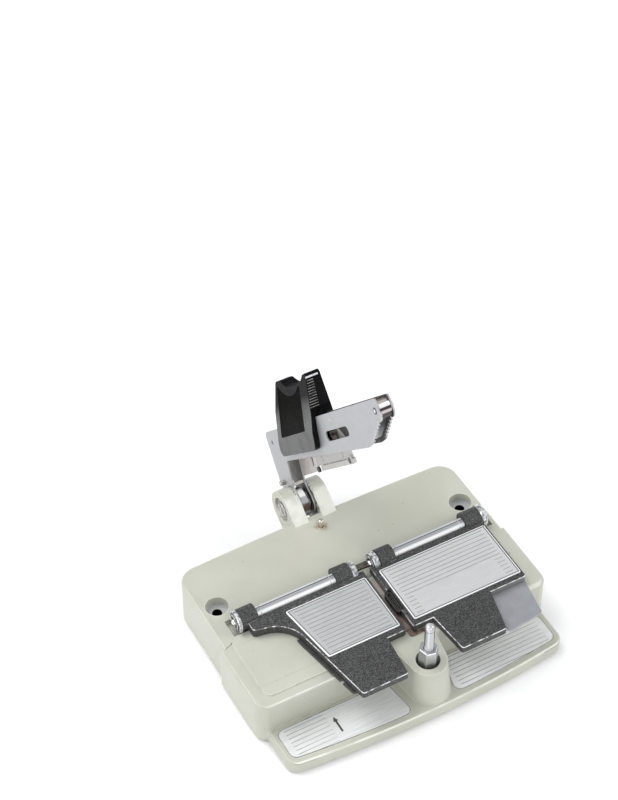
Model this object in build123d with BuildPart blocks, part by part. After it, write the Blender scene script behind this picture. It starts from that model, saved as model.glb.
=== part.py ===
from build123d import *

import os
from math import acos, atan2, cos, radians, sin

# Film splicer for 8 mm film: cast base, two folding film clamps, a swinging press arm and a sprung stop post.
# X runs to the right, Y to the rear and Z up. The part stands on z = 0, in the middle of its outline.
# Sizes are in millimetres. Along Y, places are counted from a datum line across the base.

os.makedirs("parts", exist_ok=True)

# ---------------------------------------------------------------- clearances
SLIP = 0.02  # radial, pieces pushed together for good
RUN = 0.05  # radial, a pin that turns in its bore
SIDE = 0.15  # between flat faces that turn past each other
PASS = 0.3  # between pieces that swing past each other

# ---------------------------------------------------------------- base
DATUM_Y = -20.2  # datum line across the base
TOP_Z = 27.0
BOTTOM_Z = 1.6  # lower rim of the casting
WALL = 3.0
ROOF_Z = 20.0  # underside of the top wall
FRONT_HALF = 78.5
REAR_HALF = FRONT_HALF - 2.1
REAR_Y = 58.4
REAR_SAG = 1.4  # how far the rear wall curves back
REAR_CORNER = 9.5
STEP_Y = 6.0  # where the front block steps out
FRONT_WALL_Y = -33.0
FRONT_CORNER = 6.0
RIM_FILLET = 2.6
APRON_Z = 8.0
APRON_HALF = FRONT_HALF - 3.9
APRON_Y = -59.4
APRON_SAG = 4.6
APRON_CORNER = 6.0
APRON_FLOOR = 2.5

LEDGE = 0.8  # step down round the raised pad
PAD_LEFT_X = 6.5 - FRONT_HALF
PAD_FRONT_Y = -27.8
PAD_REAR_Y = 9.0
PAD_CORNER = 3.5
LEDGE_END_X = -20.0

TROUGH_X = (9.6 - FRONT_HALF, FRONT_HALF - 4.5)
TROUGH_Z = 24.0

SCREW_X = REAR_HALF - 8.7
SCREW_Y = 30.2
SCREW_R = 2.5
SCREW_HEAD_R = 5.6
SCREW_SEAT_Z = 22.0
SCREW_PILLAR_R = 8.0

STOP_PIN_Y = 50.0
STOP_PIN_R = 1.5
STOP_PIN_TOP = 4.7
STOP_PIN_DEPTH = 6.0

FOOT_R = 4.5
FOOT_X = FRONT_HALF - 7.5
FOOT_YS = (44.0, -24.0)
FOOT_PILLAR_R = 4.0
COVER_THICK = 1.0
FOOT_SCREW_R = 1.5
FOOT_SCREW_HEAD_R = 2.7
FOOT_SCREW_HEAD = 0.7
FOOT_SCREW_TOP_Z = 9.0

LABEL_THICK = 0.5
LABEL_PROUD = 0.1
LABEL_GAP = 0.4
LABEL_REAR_Y = -35.2
LABEL_OUTER_X = APRON_HALF - 3.0
LABEL_CORNER = 3.5
LABEL_MARGIN = 3.6
LABELS = {"front_label_left": (-12.9, -9.9), "front_label_right": (18.2, 13.2)}  # inner end, rear and front

# ---------------------------------------------------------------- stop post
POST_X = 3.4
POST_Y = -45.1
POST_BORE_R = 5.85
POST_BORE_Z = 10.0
BOSS_R = 9.3
BOSS_FOOT_R = 10.2
BOSS_FOOT_SHIFT = 3.1
BOSS_FLARE = 1.3
HEX_FLATS = 8.3
HEX_TURN = 46.0
HEX_TOP_Z = 36.0
STEM_R = 3.6
STEM_BOTTOM_Z = 3.4
SLEEVE_FLOOR = 1.0
PLUNGER_R = 2.4
PLUNGER_TOP_Z = 52.4
COLLAR_R = 2.9
COLLAR_TALL = 2.5
MOUTH_LIP = 3.0  # narrow mouth of the sleeve above the collar
POST_WIRE_R = 0.35
POST_TURNS = 9

# ---------------------------------------------------------------- clamp hinge
AXLE_Y = 15.3
AXLE_Z = 30.5
AXLE_R = 1.25
KNUCKLE_R = 5.4
OUTER_BRACKET_R = 5.9
INNER_BRACKET_R = 5.2
BRACKET_FOOT = 8.0
BRACKET_EDGE = 0.4
BRACKETS = (
    (12.5 - FRONT_HALF, 14.35 - FRONT_HALF, OUTER_BRACKET_R, -1),
    (-4.55, -1.5, INNER_BRACKET_R, 1),
    (7.7, 10.85, INNER_BRACKET_R, -1),
    (FRONT_HALF - 10.35, FRONT_HALF - 7.5, OUTER_BRACKET_R, 1),
)  # from, to, radius, side of the cap
CAP_R = 1.7
CAP_LONG = 1.7
CAP_FLOOR = 0.9
SLEEVE_R = 3.0
LEAF_KNUCKLE = 2.4

# ---------------------------------------------------------------- leaves and clamps
LEAF_Z = 27.2
LEAF_THICK = 1.0
CLAMP_Z = 28.5
CLAMP_SKIRT_Z = 27.4
CLAMP_TOP_Z = 32.2
CLAMP_REAR_Y = 12.0
CLAMP_FRONT_Y = -28.6
LEAF_REAR_Y = 8.8
LEFT_IN_X = 1.5
RIGHT_IN_X = 5.3
LEFT_KNUCKLES_X = ((14.5 - FRONT_HALF, 23.1 - FRONT_HALF), (-12.6, -4.7))
RIGHT_KNUCKLES_X = ((11.0, 19.2), (FRONT_HALF - 19.0, FRONT_HALF - 10.5))
EDGE_ROUND = 0.5
PLATE_THICK = 0.6
PLATE_PROUD = 0.25
PLATE_GAP = 0.15
FILM_Y = -8.5
PERF_Y = -4.6
PIN_R = 0.5
PIN_PITCH = 4.23
PIN_TALL = 0.9
PAD_WIDE = 6.4
PAD_DROP = 0.1
PAD_DEEP = 1.0
PAD_FROM_EDGE = 2.0
PAD_LONG = 30.0

BED_X = (2.8, 9.0)
BED_Y = (6.8, -26.4)
TONGUE_X = (3.2, 13.4)
TONGUE_Y = -30.4
BED_THICK = 1.0
BED_SLOT = (0.8, 12.0)
SHOE_X = (3.4, 7.1)
SHOE_Y = (-3.9, -17.5)
SHOE_Z = (28.6, 31.3)
SHOE_CORNER = 1.5
SHOE_SLOT = (1.7, 10.5, 1.4)  # wide, long, deep

# ---------------------------------------------------------------- arm hinge
HINGE_Y = 69.5
HINGE_Z = 25.8
ARM_ANGLE = 48.7  # the open arm rises this much from level
LUG_R = 9.75
LUG_IN = 3.9
LUG_OUT = 11.6
LUG_LOW_Z = 5.0
LUG_RECESS_R = 6.5
LUG_RECESS = 1.6
HINGE_PIN_R = 3.0
HINGE_HEAD_R = 4.0
HINGE_HEAD = 1.3
SLOT_WIDE = 1.0
SLOT_DEEP = 0.6

# ---------------------------------------------------------------- arm, d along it and u up from the hinge
CHEEK_OUT = 3.6
CHEEK = 0.8
CHEEK_IN = CHEEK_OUT - CHEEK
EYE_R = 8.0
ARM_TOP_U = 38.4
ARM_TIP_D = 151.4
TEETH = 7
TOOTH_DEPTH = 1.6
TEETH_TOP = (ARM_TIP_D - 2.8, 28.3)
TEETH_LOW = (ARM_TIP_D - 20.2, 19.4)
NOTCH = (ARM_TIP_D + 1.2, 33.0, 1.9)  # hollow round the roller, centre and radius
WINDOW = (92.5, 28.0, 30.0, 4.8)
ROLLER_DU = (ARM_TIP_D - 4.5, 33.1)
ROLLER_R = 4.3
ROLLER_PIN_R = 1.6
ROLLER_HEAD = (2.8, 1.3)  # radius, thickness
ROLLER_FLUTES = 8
FLUTE = (1.1, 0.5)  # radius of the groove, how far outside the roller its centre lies
WEB = (93.0, ARM_TIP_D - 8.2, 36.9, 37.6)  # from and to along the arm, low and high
BRIDGE_DU = (89.5, 34.8)
BRIDGE_PIN_R = 1.5
SPACER_PIN_R = 1.2
SPACER_SHOULDER = 1.1
HOLE_DU = (1.5, 32.4)
NOSE_STRIP = [
    (ARM_TIP_D - 24.4, 20.9), (ARM_TIP_D - 8.4, 28.6), (ARM_TIP_D - 9.8, 30.4), (ARM_TIP_D - 25.8, 22.7),
]
CARRIER_THICK = 0.8
TOOL_D = (38.5, 82.5)
TOOL_U = (12.0, 14.6)
TOOL_X = (2.4, 4.4)
CAM_PIN_DU = (26.0, 18.2)
CATCH_SLOT = (6.4, 3.6)
CATCH_LEAN = 70.0
CATCH_PIN_R = 1.3
RIVET_R = 0.9
RIVET_HEAD = (1.5, 0.6)  # radius, height
STOP_BAR_DU = (-3.0, 12.0)
STOP_BAR_R = 1.2
STOP_BAR_OUT = 6.4
SPACER_DU = (48.0, 31.0)
NECK_BRIDGE = [(-1.5, 8.7), (5.6, 8.7), (6.4, 10.2), (-1.5, 10.2)]
HUB_R = 7.6
HUB_X = (-2.65, 1.0)
SPRING_R = 5.6
SPRING_WIRE_R = 0.4
SPRING_TURNS = 1.5
LINK = [(69.5, 30.9), (78.2, 30.9), (86.9, 23.0), (77.8, 23.0)]
LINK_THICK = 0.6
CATCH_COIL = (75.5, 27.3, 3.4, 2.0)  # place, radius outside and inside
CATCH_COIL_X = (-1.5, 1.5)

# ---------------------------------------------------------------- handle
GRIP_HALF = 6.5
GRIP_TOP_HALF = 3.4
GRIP_SHOULDER_U = 32.0
GRIP_TOP_U = 60.2
GRIP_LOW_U = 23.5
GRIP_FACE_GAP = 0.05
INSET_THICK = 0.6
INSET_DEEP = 0.8
INSET_GAP = 0.1


def level(z):
    """Horizontal sketch plane at a height, with the datum line as its X axis."""
    return Plane(origin=(0, DATUM_Y, z))


def across(x):
    """Sketch plane square to X, with Y and Z as its axes, counted from the datum line and the table."""
    return Plane(origin=(x, DATUM_Y, 0), x_dir=(0, 1, 0), z_dir=(1, 0, 0))


def arm_side(x):
    """Sketch plane square to X at the arm hinge, turned with the arm; its normal points to -X."""
    rise = radians(ARM_ANGLE)
    return Plane(origin=(x, DATUM_Y + HINGE_Y, HINGE_Z), x_dir=(0, -cos(rise), sin(rise)), z_dir=(-1, 0, 0))


def tangent_point(centre, radius, point, side):
    """Where the tangent from a point touches a circle, on its left (1) or right (-1) side."""
    dx = point[0] - centre[0]
    dy = point[1] - centre[1]
    turn = side * acos(radius / (dx * dx + dy * dy) ** 0.5)
    angle = atan2(dy, dx) + turn
    return (centre[0] + radius * cos(angle), centre[1] + radius * sin(angle))


def save(part, name):
    """Labels a finished piece and writes its file."""
    part.label = name
    export_step(part, f"parts/{name}.step")


# ================================================================ base casting
FOOT_SPOTS = [(side * FOOT_X, y) for side in (-1, 1) for y in FOOT_YS]
LUG_WALL_Y = REAR_Y - PASS
TROUGH_REACH = ((OUTER_BRACKET_R + PASS) ** 2 - (AXLE_Z - TOP_Z) ** 2) ** 0.5
OVERLAP_Y = (STEP_Y + FRONT_WALL_Y) / 2
LEDGE_OUTLINE = [
    (-FRONT_HALF - 1, STEP_Y), (-REAR_HALF, STEP_Y), (PAD_LEFT_X + PAD_CORNER, PAD_REAR_Y),
    (LEDGE_END_X, PAD_REAR_Y), (LEDGE_END_X, FRONT_WALL_Y - 1), (-FRONT_HALF - 1, FRONT_WALL_Y - 1),
]

with BuildSketch(level(0)) as rear_outline:
    with BuildLine():
        corner_y = REAR_Y - REAR_SAG
        rear_arc = ThreePointArc((-REAR_HALF, corner_y), (0, REAR_Y), (REAR_HALF, corner_y))
        Polyline(rear_arc @ 1, (REAR_HALF, OVERLAP_Y), (-REAR_HALF, OVERLAP_Y), rear_arc @ 0)
    make_face()
    fillet(rear_outline.vertices().group_by(Axis.Y)[-1], REAR_CORNER)

with BuildSketch(level(0)) as front_outline:
    with Locations((0, (STEP_Y + FRONT_WALL_Y) / 2)):
        Rectangle(2 * FRONT_HALF, STEP_Y - FRONT_WALL_Y)
    fillet(front_outline.vertices().group_by(Axis.Y)[0], FRONT_CORNER)

with BuildSketch(level(0)) as apron_outline:
    with BuildLine():
        corner_y = APRON_Y + APRON_SAG
        apron_arc = ThreePointArc((-APRON_HALF, corner_y), (0, APRON_Y), (APRON_HALF, corner_y))
        Polyline(apron_arc @ 1, (APRON_HALF, OVERLAP_Y), (-APRON_HALF, OVERLAP_Y), apron_arc @ 0)
    make_face()
    fillet(apron_outline.vertices().group_by(Axis.Y)[0], APRON_CORNER)


def hollow(outline, top_z):
    """Space under the casting inside one outline, up to a roof."""
    with BuildPart() as space:
        with BuildSketch(Plane.XY.offset(BOTTOM_Z)):
            add(outline.sketch)
            offset(amount=-WALL)
        extrude(amount=top_z - BOTTOM_Z)
    return space.part


def boss_outline(z, radius, shift):
    """Section of the post's boss: round in front, flared to the block's wall behind."""
    back = radius * BOSS_FLARE
    with BuildSketch(level(z)) as outline:
        with BuildLine():
            centre_y = POST_Y - shift
            front = ThreePointArc(
                (POST_X - radius, centre_y), (POST_X, centre_y - radius), (POST_X + radius, centre_y)
            )
            Polyline(front @ 1, (POST_X + back, FRONT_WALL_Y + 4), (POST_X - back, FRONT_WALL_Y + 4), front @ 0)
        make_face()
    return outline.sketch


with BuildPart() as boss:
    add(boss_outline(TOP_Z, BOSS_R, 0))
    add(boss_outline(BOTTOM_Z + WALL, BOSS_FOOT_R, BOSS_FOOT_SHIFT))
    loft(ruled=True)

with BuildPart() as apron:
    with BuildSketch(Plane.XY.offset(BOTTOM_Z)):
        add(apron_outline.sketch)
    extrude(amount=APRON_Z - BOTTOM_Z)
    fillet(apron.faces().sort_by(Axis.Z)[-1].edges(), 1.2)

with BuildPart() as front_block:
    with BuildSketch(Plane.XY.offset(BOTTOM_Z)):
        add(front_outline.sketch)
    extrude(amount=TOP_Z - BOTTOM_Z)
    fillet(front_block.faces().sort_by(Axis.Z)[-1].edges().sort_by(Axis.Y)[:-1], RIM_FILLET)

with BuildPart() as rear_block:
    with BuildSketch(Plane.XY.offset(BOTTOM_Z)):
        add(rear_outline.sketch)
    extrude(amount=TOP_Z - BOTTOM_Z)
    fillet(rear_block.faces().sort_by(Axis.Z)[-1].edges().sort_by(Axis.Y)[1:], 1.0)

with BuildPart() as base_casting:
    add(rear_block.part)
    add(front_block.part)
    add(apron.part)
    add(boss.part)
    # hinge lugs, round on top and running down into the rear wall
    high = tangent_point((HINGE_Y, HINGE_Z), LUG_R, (LUG_WALL_Y - 1, TOP_Z), -1)
    low = tangent_point((HINGE_Y, HINGE_Z), LUG_R, (LUG_WALL_Y - 1, LUG_LOW_Z), 1)
    for inner, outer in ((-LUG_OUT, -LUG_IN), (LUG_IN, LUG_OUT)):
        with BuildSketch(across(inner)):
            with Locations((HINGE_Y, HINGE_Z)):
                Circle(LUG_R)
            with BuildLine():
                root_y = LUG_WALL_Y - WALL
                Polyline((root_y, TOP_Z), high, (HINGE_Y, HINGE_Z), low, (root_y, LUG_LOW_Z), close=True)
            make_face()
        extrude(amount=outer - inner)
    # ledge round the raised pad, on the left
    with BuildSketch(level(TOP_Z)):
        with BuildLine():
            Polyline(*LEDGE_OUTLINE, close=True)
        make_face()
        with Locations(((PAD_LEFT_X + FRONT_HALF) / 2, (PAD_FRONT_Y + PAD_REAR_Y) / 2)):
            RectangleRounded(FRONT_HALF - PAD_LEFT_X, PAD_REAR_Y - PAD_FRONT_Y, PAD_CORNER, mode=Mode.SUBTRACT)
    extrude(amount=-LEDGE, mode=Mode.SUBTRACT)
    # underside, open but for the pillars that take the screws
    add(hollow(rear_outline, ROOF_Z), mode=Mode.SUBTRACT)
    add(hollow(front_outline, ROOF_Z), mode=Mode.SUBTRACT)
    add(hollow(apron_outline, APRON_Z - APRON_FLOOR), mode=Mode.SUBTRACT)
    with BuildSketch(level(BOTTOM_Z + COVER_THICK)):
        with Locations(*FOOT_SPOTS):
            Circle(FOOT_PILLAR_R)
        with Locations((-SCREW_X, SCREW_Y), (SCREW_X, SCREW_Y)):
            Circle(SCREW_PILLAR_R)
        with Locations((POST_X, POST_Y)):
            Circle(BOSS_FOOT_R - 1)
    extrude(amount=APRON_Z - APRON_FLOOR - BOTTOM_Z - COVER_THICK + 1)
    with BuildSketch(level(BOTTOM_Z + COVER_THICK)):
        with Locations(*FOOT_SPOTS):
            Circle(FOOT_PILLAR_R)
        with Locations((-SCREW_X, SCREW_Y), (SCREW_X, SCREW_Y)):
            Circle(SCREW_PILLAR_R)
    extrude(amount=ROOF_Z + 1 - BOTTOM_Z - COVER_THICK)
    with BuildSketch(level(ROOF_Z - 6)):
        with Locations((0, STOP_PIN_Y)):
            Circle(SCREW_PILLAR_R / 2)
    extrude(amount=7)
    # seat of the bottom cover
    with BuildSketch(Plane.XY.offset(BOTTOM_Z)):
        add(rear_outline.sketch)
        add(front_outline.sketch)
        add(apron_outline.sketch)
        offset(amount=-WALL)
    extrude(amount=COVER_THICK, mode=Mode.SUBTRACT)
    # trough for the clamp hinge
    with BuildSketch(level(TROUGH_Z)):
        with Locations(((TROUGH_X[0] + TROUGH_X[1]) / 2, AXLE_Y)):
            Rectangle(TROUGH_X[1] - TROUGH_X[0], 2 * TROUGH_REACH)
    extrude(amount=TOP_Z - TROUGH_Z + 1, mode=Mode.SUBTRACT)
    # fixing holes, stop pin hole, post bore, hinge bore and its recesses
    for side in (-1, 1):
        with Locations(level(TOP_Z) * Location((side * SCREW_X, SCREW_Y, 0))):
            CounterBoreHole(SCREW_R, SCREW_HEAD_R, TOP_Z - SCREW_SEAT_Z, TOP_Z)
    with Locations(level(TOP_Z) * Location((0, STOP_PIN_Y, 0))):
        Hole(STOP_PIN_R + SLIP, STOP_PIN_DEPTH)
    with BuildSketch(level(POST_BORE_Z)):
        with Locations((POST_X, POST_Y)):
            Circle(POST_BORE_R)
    extrude(amount=TOP_Z - POST_BORE_Z, mode=Mode.SUBTRACT)
    with BuildSketch(level(STEM_BOTTOM_Z - SIDE)):
        with Locations((POST_X, POST_Y)):
            Circle(STEM_R + RUN)
    extrude(amount=TOP_Z - STEM_BOTTOM_Z, mode=Mode.SUBTRACT)
    with BuildSketch(across(-LUG_OUT)):
        with Locations((HINGE_Y, HINGE_Z)):
            Circle(HINGE_PIN_R + SLIP)
    extrude(amount=2 * LUG_OUT, mode=Mode.SUBTRACT)
    for start in (-LUG_OUT, LUG_OUT - LUG_RECESS):
        with BuildSketch(across(start)):
            with Locations((HINGE_Y, HINGE_Z)):
                Circle(LUG_RECESS_R)
        extrude(amount=LUG_RECESS, mode=Mode.SUBTRACT)
    # holes for the foot screws
    with BuildSketch(level(BOTTOM_Z)):
        with Locations(*FOOT_SPOTS):
            Circle(FOOT_SCREW_R + SLIP)
    extrude(amount=FOOT_SCREW_TOP_Z - BOTTOM_Z, mode=Mode.SUBTRACT)


# ================================================================ front labels in their pockets
def label_outline(inner_rear_x, inner_front_x, grow):
    """Label outline: slanted beside the boss, curved along the apron's front."""
    side = 1 if inner_rear_x > 0 else -1
    outer = side * LABEL_OUTER_X
    arc_drop = APRON_SAG * (LABEL_OUTER_X / APRON_HALF) ** 2
    front_inner = APRON_Y + LABEL_MARGIN + APRON_SAG * (inner_front_x / APRON_HALF) ** 2
    middle_x = (inner_front_x + outer) / 2
    front_middle = APRON_Y + LABEL_MARGIN + APRON_SAG * (middle_x / APRON_HALF) ** 2
    with BuildSketch(level(APRON_Z)) as outline:
        with BuildLine():
            outer_end = (outer, APRON_Y + LABEL_MARGIN + arc_drop)
            curve = ThreePointArc((inner_front_x, front_inner), (middle_x, front_middle), outer_end)
            Polyline(curve @ 1, (outer, LABEL_REAR_Y), (inner_rear_x, LABEL_REAR_Y), curve @ 0)
        make_face()
        fillet(outline.vertices(), LABEL_CORNER)
        offset(amount=grow)
    return outline.sketch


for name, (rear_x, front_x) in LABELS.items():
    with BuildPart() as label:
        add(label_outline(rear_x, front_x, 0))
        extrude(amount=LABEL_PROUD)
        extrude(label_outline(rear_x, front_x, 0), amount=LABEL_PROUD - LABEL_THICK)
    save(label.part, name)
    with BuildPart() as pocket:
        add(label_outline(rear_x, front_x, LABEL_GAP))
        extrude(amount=LABEL_PROUD - LABEL_THICK)
    with base_casting:
        add(pocket.part, mode=Mode.SUBTRACT)
save(base_casting.part, "base_casting")

# ================================================================ bottom cover, feet and their screws
with BuildPart() as bottom_cover:
    with BuildSketch(Plane.XY.offset(BOTTOM_Z)):
        add(rear_outline.sketch)
        add(front_outline.sketch)
        add(apron_outline.sketch)
        offset(amount=-WALL - SIDE)
    extrude(amount=COVER_THICK)
    with Locations(*[level(BOTTOM_Z + COVER_THICK) * Location((x, y, 0)) for x, y in FOOT_SPOTS]):
        Hole(FOOT_SCREW_R + SLIP, COVER_THICK)
    with Locations(*[level(BOTTOM_Z + COVER_THICK) * Location((s * SCREW_X, SCREW_Y, 0)) for s in (-1, 1)]):
        Hole(SCREW_R, COVER_THICK)
save(bottom_cover.part, "bottom_cover")

with BuildPart() as rubber_feet:
    with BuildSketch(level(0)):
        with Locations(*FOOT_SPOTS):
            Circle(FOOT_R)
    extrude(amount=BOTTOM_Z)
    with BuildSketch(level(0)):
        with Locations(*FOOT_SPOTS):
            Circle(FOOT_SCREW_HEAD_R + RUN)
    extrude(amount=BOTTOM_Z / 2, mode=Mode.SUBTRACT)
    with BuildSketch(level(0)):
        with Locations(*FOOT_SPOTS):
            Circle(FOOT_SCREW_R + SLIP)
    extrude(amount=BOTTOM_Z, mode=Mode.SUBTRACT)
save(rubber_feet.part, "rubber_feet")

with BuildPart() as foot_screws:
    with BuildSketch(level(BOTTOM_Z / 2 - FOOT_SCREW_HEAD)):
        with Locations(*FOOT_SPOTS):
            Circle(FOOT_SCREW_HEAD_R)
    extrude(amount=FOOT_SCREW_HEAD)
    with BuildSketch(level(BOTTOM_Z / 2)):
        with Locations(*FOOT_SPOTS):
            Circle(FOOT_SCREW_R)
    extrude(amount=FOOT_SCREW_TOP_Z - BOTTOM_Z / 2 - SIDE)
save(foot_screws.part, "foot_screws")

# ================================================================ stop pin on top of the base
with BuildPart() as stop_pin:
    with BuildSketch(level(TOP_Z - STOP_PIN_DEPTH)):
        with Locations((0, STOP_PIN_Y)):
            Circle(STOP_PIN_R)
    extrude(amount=STOP_PIN_DEPTH + STOP_PIN_TOP)
    fillet(stop_pin.faces().sort_by(Axis.Z)[-1].edges(), STOP_PIN_R * 0.7)
save(stop_pin.part, "stop_pin")

# ================================================================ stop post: hex sleeve, plunger pin and spring
COLLAR_Z = HEX_TOP_Z - MOUTH_LIP - COLLAR_TALL
SPRING_FLOOR_Z = STEM_BOTTOM_Z + SLEEVE_FLOOR
with BuildPart() as stop_sleeve:
    with BuildSketch(level(POST_BORE_Z + SIDE)):
        with Locations((POST_X, POST_Y)):
            RegularPolygon(HEX_FLATS / 2, 6, major_radius=False, rotation=HEX_TURN)
    extrude(amount=HEX_TOP_Z - POST_BORE_Z - SIDE)
    chamfer(stop_sleeve.faces().sort_by(Axis.Z)[-1].edges(), 0.4)
    with BuildSketch(level(STEM_BOTTOM_Z)):
        with Locations((POST_X, POST_Y)):
            Circle(STEM_R)
    extrude(amount=POST_BORE_Z + 2 - STEM_BOTTOM_Z)
    with BuildSketch(level(SPRING_FLOOR_Z)):
        with Locations((POST_X, POST_Y)):
            Circle(COLLAR_R + RUN)
    extrude(amount=HEX_TOP_Z - MOUTH_LIP - SPRING_FLOOR_Z, mode=Mode.SUBTRACT)
    with BuildSketch(level(SPRING_FLOOR_Z)):
        with Locations((POST_X, POST_Y)):
            Circle(PLUNGER_R + RUN)
    extrude(amount=HEX_TOP_Z - SPRING_FLOOR_Z + 1, mode=Mode.SUBTRACT)
save(stop_sleeve.part, "stop_sleeve")

with BuildPart() as plunger_pin:
    with BuildSketch(level(COLLAR_Z - RUN)):
        with Locations((POST_X, POST_Y)):
            Circle(COLLAR_R)
    extrude(amount=COLLAR_TALL)
    with BuildSketch(level(COLLAR_Z)):
        with Locations((POST_X, POST_Y)):
            Circle(PLUNGER_R)
    extrude(amount=PLUNGER_TOP_Z - COLLAR_Z)
    fillet(plunger_pin.faces().sort_by(Axis.Z)[-1].edges(), PLUNGER_R * 0.85)
save(plunger_pin.part, "plunger_pin")

with BuildPart() as plunger_spring:
    coil_r = COLLAR_R - 2 * POST_WIRE_R
    tall = COLLAR_Z - SPRING_FLOOR_Z - 4 * POST_WIRE_R
    with BuildLine():
        coil = Helix(
            tall / POST_TURNS, tall, coil_r, center=(POST_X, DATUM_Y + POST_Y, SPRING_FLOOR_Z + 2 * POST_WIRE_R)
        )
    with BuildSketch(Plane(origin=coil @ 0, z_dir=coil % 0)):
        Circle(POST_WIRE_R)
    sweep()
save(plunger_spring.part, "plunger_spring")

# ================================================================ clamp axle, brackets, caps and sleeves
AXLE_CENTRE = (AXLE_Y, AXLE_Z)


def disc(x_from, x_to, radius, centre=AXLE_CENTRE):
    """Cylinder along X between two places."""
    with BuildPart() as cylinder:
        with BuildSketch(across(x_from)):
            with Locations(centre):
                Circle(radius)
        extrude(amount=x_to - x_from)
    return cylinder.part


AXLE_X = (BRACKETS[0][0] - CAP_FLOOR, BRACKETS[-1][1] + CAP_FLOOR)
with BuildPart() as clamp_axle:
    add(disc(AXLE_X[0], AXLE_X[1], AXLE_R))
    chamfer(clamp_axle.edges().filter_by(GeomType.CIRCLE), 0.3)
save(clamp_axle.part, "clamp_axle")

for number, (x_from, x_to, radius, _) in enumerate(BRACKETS, start=1):
    with BuildPart() as bracket:
        add(disc(x_from, x_to, radius))
        chamfer(bracket.edges().filter_by(GeomType.CIRCLE), BRACKET_EDGE)
        with BuildSketch(across(x_from + BRACKET_EDGE)):
            with Locations((AXLE_Y, (TROUGH_Z + AXLE_Z) / 2)):
                Rectangle(BRACKET_FOOT, AXLE_Z - TROUGH_Z)
        extrude(amount=x_to - x_from - 2 * BRACKET_EDGE)
        add(disc(x_from, x_to, AXLE_R + SLIP), mode=Mode.SUBTRACT)
    save(bracket.part, f"hinge_bracket_{number}")

with BuildPart() as axle_caps:
    for x_from, x_to, _, way in BRACKETS:
        low_x, high_x = (x_to, x_to + CAP_LONG) if way > 0 else (x_from - CAP_LONG, x_from)
        with BuildPart(mode=Mode.PRIVATE) as cap:
            add(disc(low_x, high_x, CAP_R))
            crown = cap.faces().sort_by(Axis.X)[-1 if way > 0 else 0]
            fillet(crown.edges(), CAP_R * 0.8)
        add(cap.part)
    add(disc(AXLE_X[0], AXLE_X[1], AXLE_R + SLIP), mode=Mode.SUBTRACT)
save(axle_caps.part, "axle_caps")


# ================================================================ leaves and clamps
def knuckle_split(low_x, high_x, leaf_side):
    """Widths along the axle of a clamp's knuckle and of the leaf's ring beside it."""
    if leaf_side > 0:
        return (low_x, high_x), (high_x + SIDE, high_x + SIDE + LEAF_KNUCKLE)
    return (low_x, high_x), (low_x - SIDE - LEAF_KNUCKLE, low_x - SIDE)


LEFT_SPLIT = [knuckle_split(*LEFT_KNUCKLES_X[0], 1), knuckle_split(*LEFT_KNUCKLES_X[1], -1)]
RIGHT_SPLIT = [knuckle_split(*RIGHT_KNUCKLES_X[0], 1), knuckle_split(*RIGHT_KNUCKLES_X[1], -1)]


def outline_face(points, z, rounds, grow=0.0):
    """Closed outline on a level, with named corners rounded: {index: radius}, and grown by a gap."""
    with BuildSketch(level(z)) as outline:
        with BuildLine():
            Polyline(*points, close=True)
        make_face()
        for index, radius in rounds.items():
            corner = outline.vertices().sort_by_distance(points[index])[0]
            fillet(corner, radius)
        if grow:
            offset(amount=grow)
    return outline.sketch


LEFT_END_X = 17.2 - FRONT_HALF
RIGHT_END_X = FRONT_HALF - 10.5
LEFT_CLAMP = [
    (LEFT_IN_X, CLAMP_REAR_Y), (LEFT_END_X, CLAMP_REAR_Y), (LEFT_END_X, 5.1), (LEFT_END_X + 16.9, 1.9),
    (LEFT_END_X + 26.8, -50.8), (-10.5, -50.8), (-8.6, CLAMP_FRONT_Y), (LEFT_IN_X, CLAMP_FRONT_Y),
]
LEFT_CLAMP_ROUNDS = {2: 2.2, 3: 16.0, 4: 1.5, 5: 1.2, 7: 0.8}
LEFT_POCKET = [
    (3, 13), (LEFT_END_X + 3.7, 13), (LEFT_END_X + 3.7, 6.6), (LEFT_END_X + 9.3, 5.4),
    (LEFT_END_X + 14.7, 1.9), (LEFT_END_X + 17.9, -2.6), (LEFT_END_X + 18.9, -6.2),
    (LEFT_END_X - 8.7, -6.2), (LEFT_END_X - 8.7, -55), (3, -55),
]
RIGHT_CLAMP = [
    (RIGHT_END_X, CLAMP_REAR_Y), (RIGHT_IN_X, CLAMP_REAR_Y), (RIGHT_IN_X, CLAMP_FRONT_Y),
    (16.2, CLAMP_FRONT_Y), (18.6, -50.8), (RIGHT_END_X - 25.2, -50.8),
    (RIGHT_END_X - 20.0, CLAMP_FRONT_Y), (RIGHT_END_X, CLAMP_FRONT_Y),
]
RIGHT_CLAMP_ROUNDS = {2: 0.8, 4: 1.5, 5: 1.5, 7: 1.5}
RIGHT_POCKET = [(3, 13), (3, -55), (RIGHT_END_X + 7, -55), (RIGHT_END_X + 7, 13)]
LEFT_LEAF = [
    (1.2, LEAF_REAR_Y), (LEFT_END_X + 4.2, LEAF_REAR_Y), (LEFT_END_X + 4.2, 7.1), (LEFT_END_X + 9.5, 5.9),
    (LEFT_END_X + 15.1, 2.3), (LEFT_END_X + 18.4, -2.4), (LEFT_END_X + 19.4, -6.6),
    (LEFT_END_X + 16.7, -6.6), (LEFT_END_X + 17.0, -9.4), (LEFT_END_X + 22.5, -36.8),
    (LEFT_END_X + 23.9, -36.8), (LEFT_END_X + 23.9, -38.6), (LEFT_END_X + 22.9, -38.6),
    (LEFT_END_X + 24.3, -45.4), (LEFT_END_X + 29.8, -47.6), (-12.0, -47.6), (-10.4, -28.0), (1.2, -28.0),
]
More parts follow.
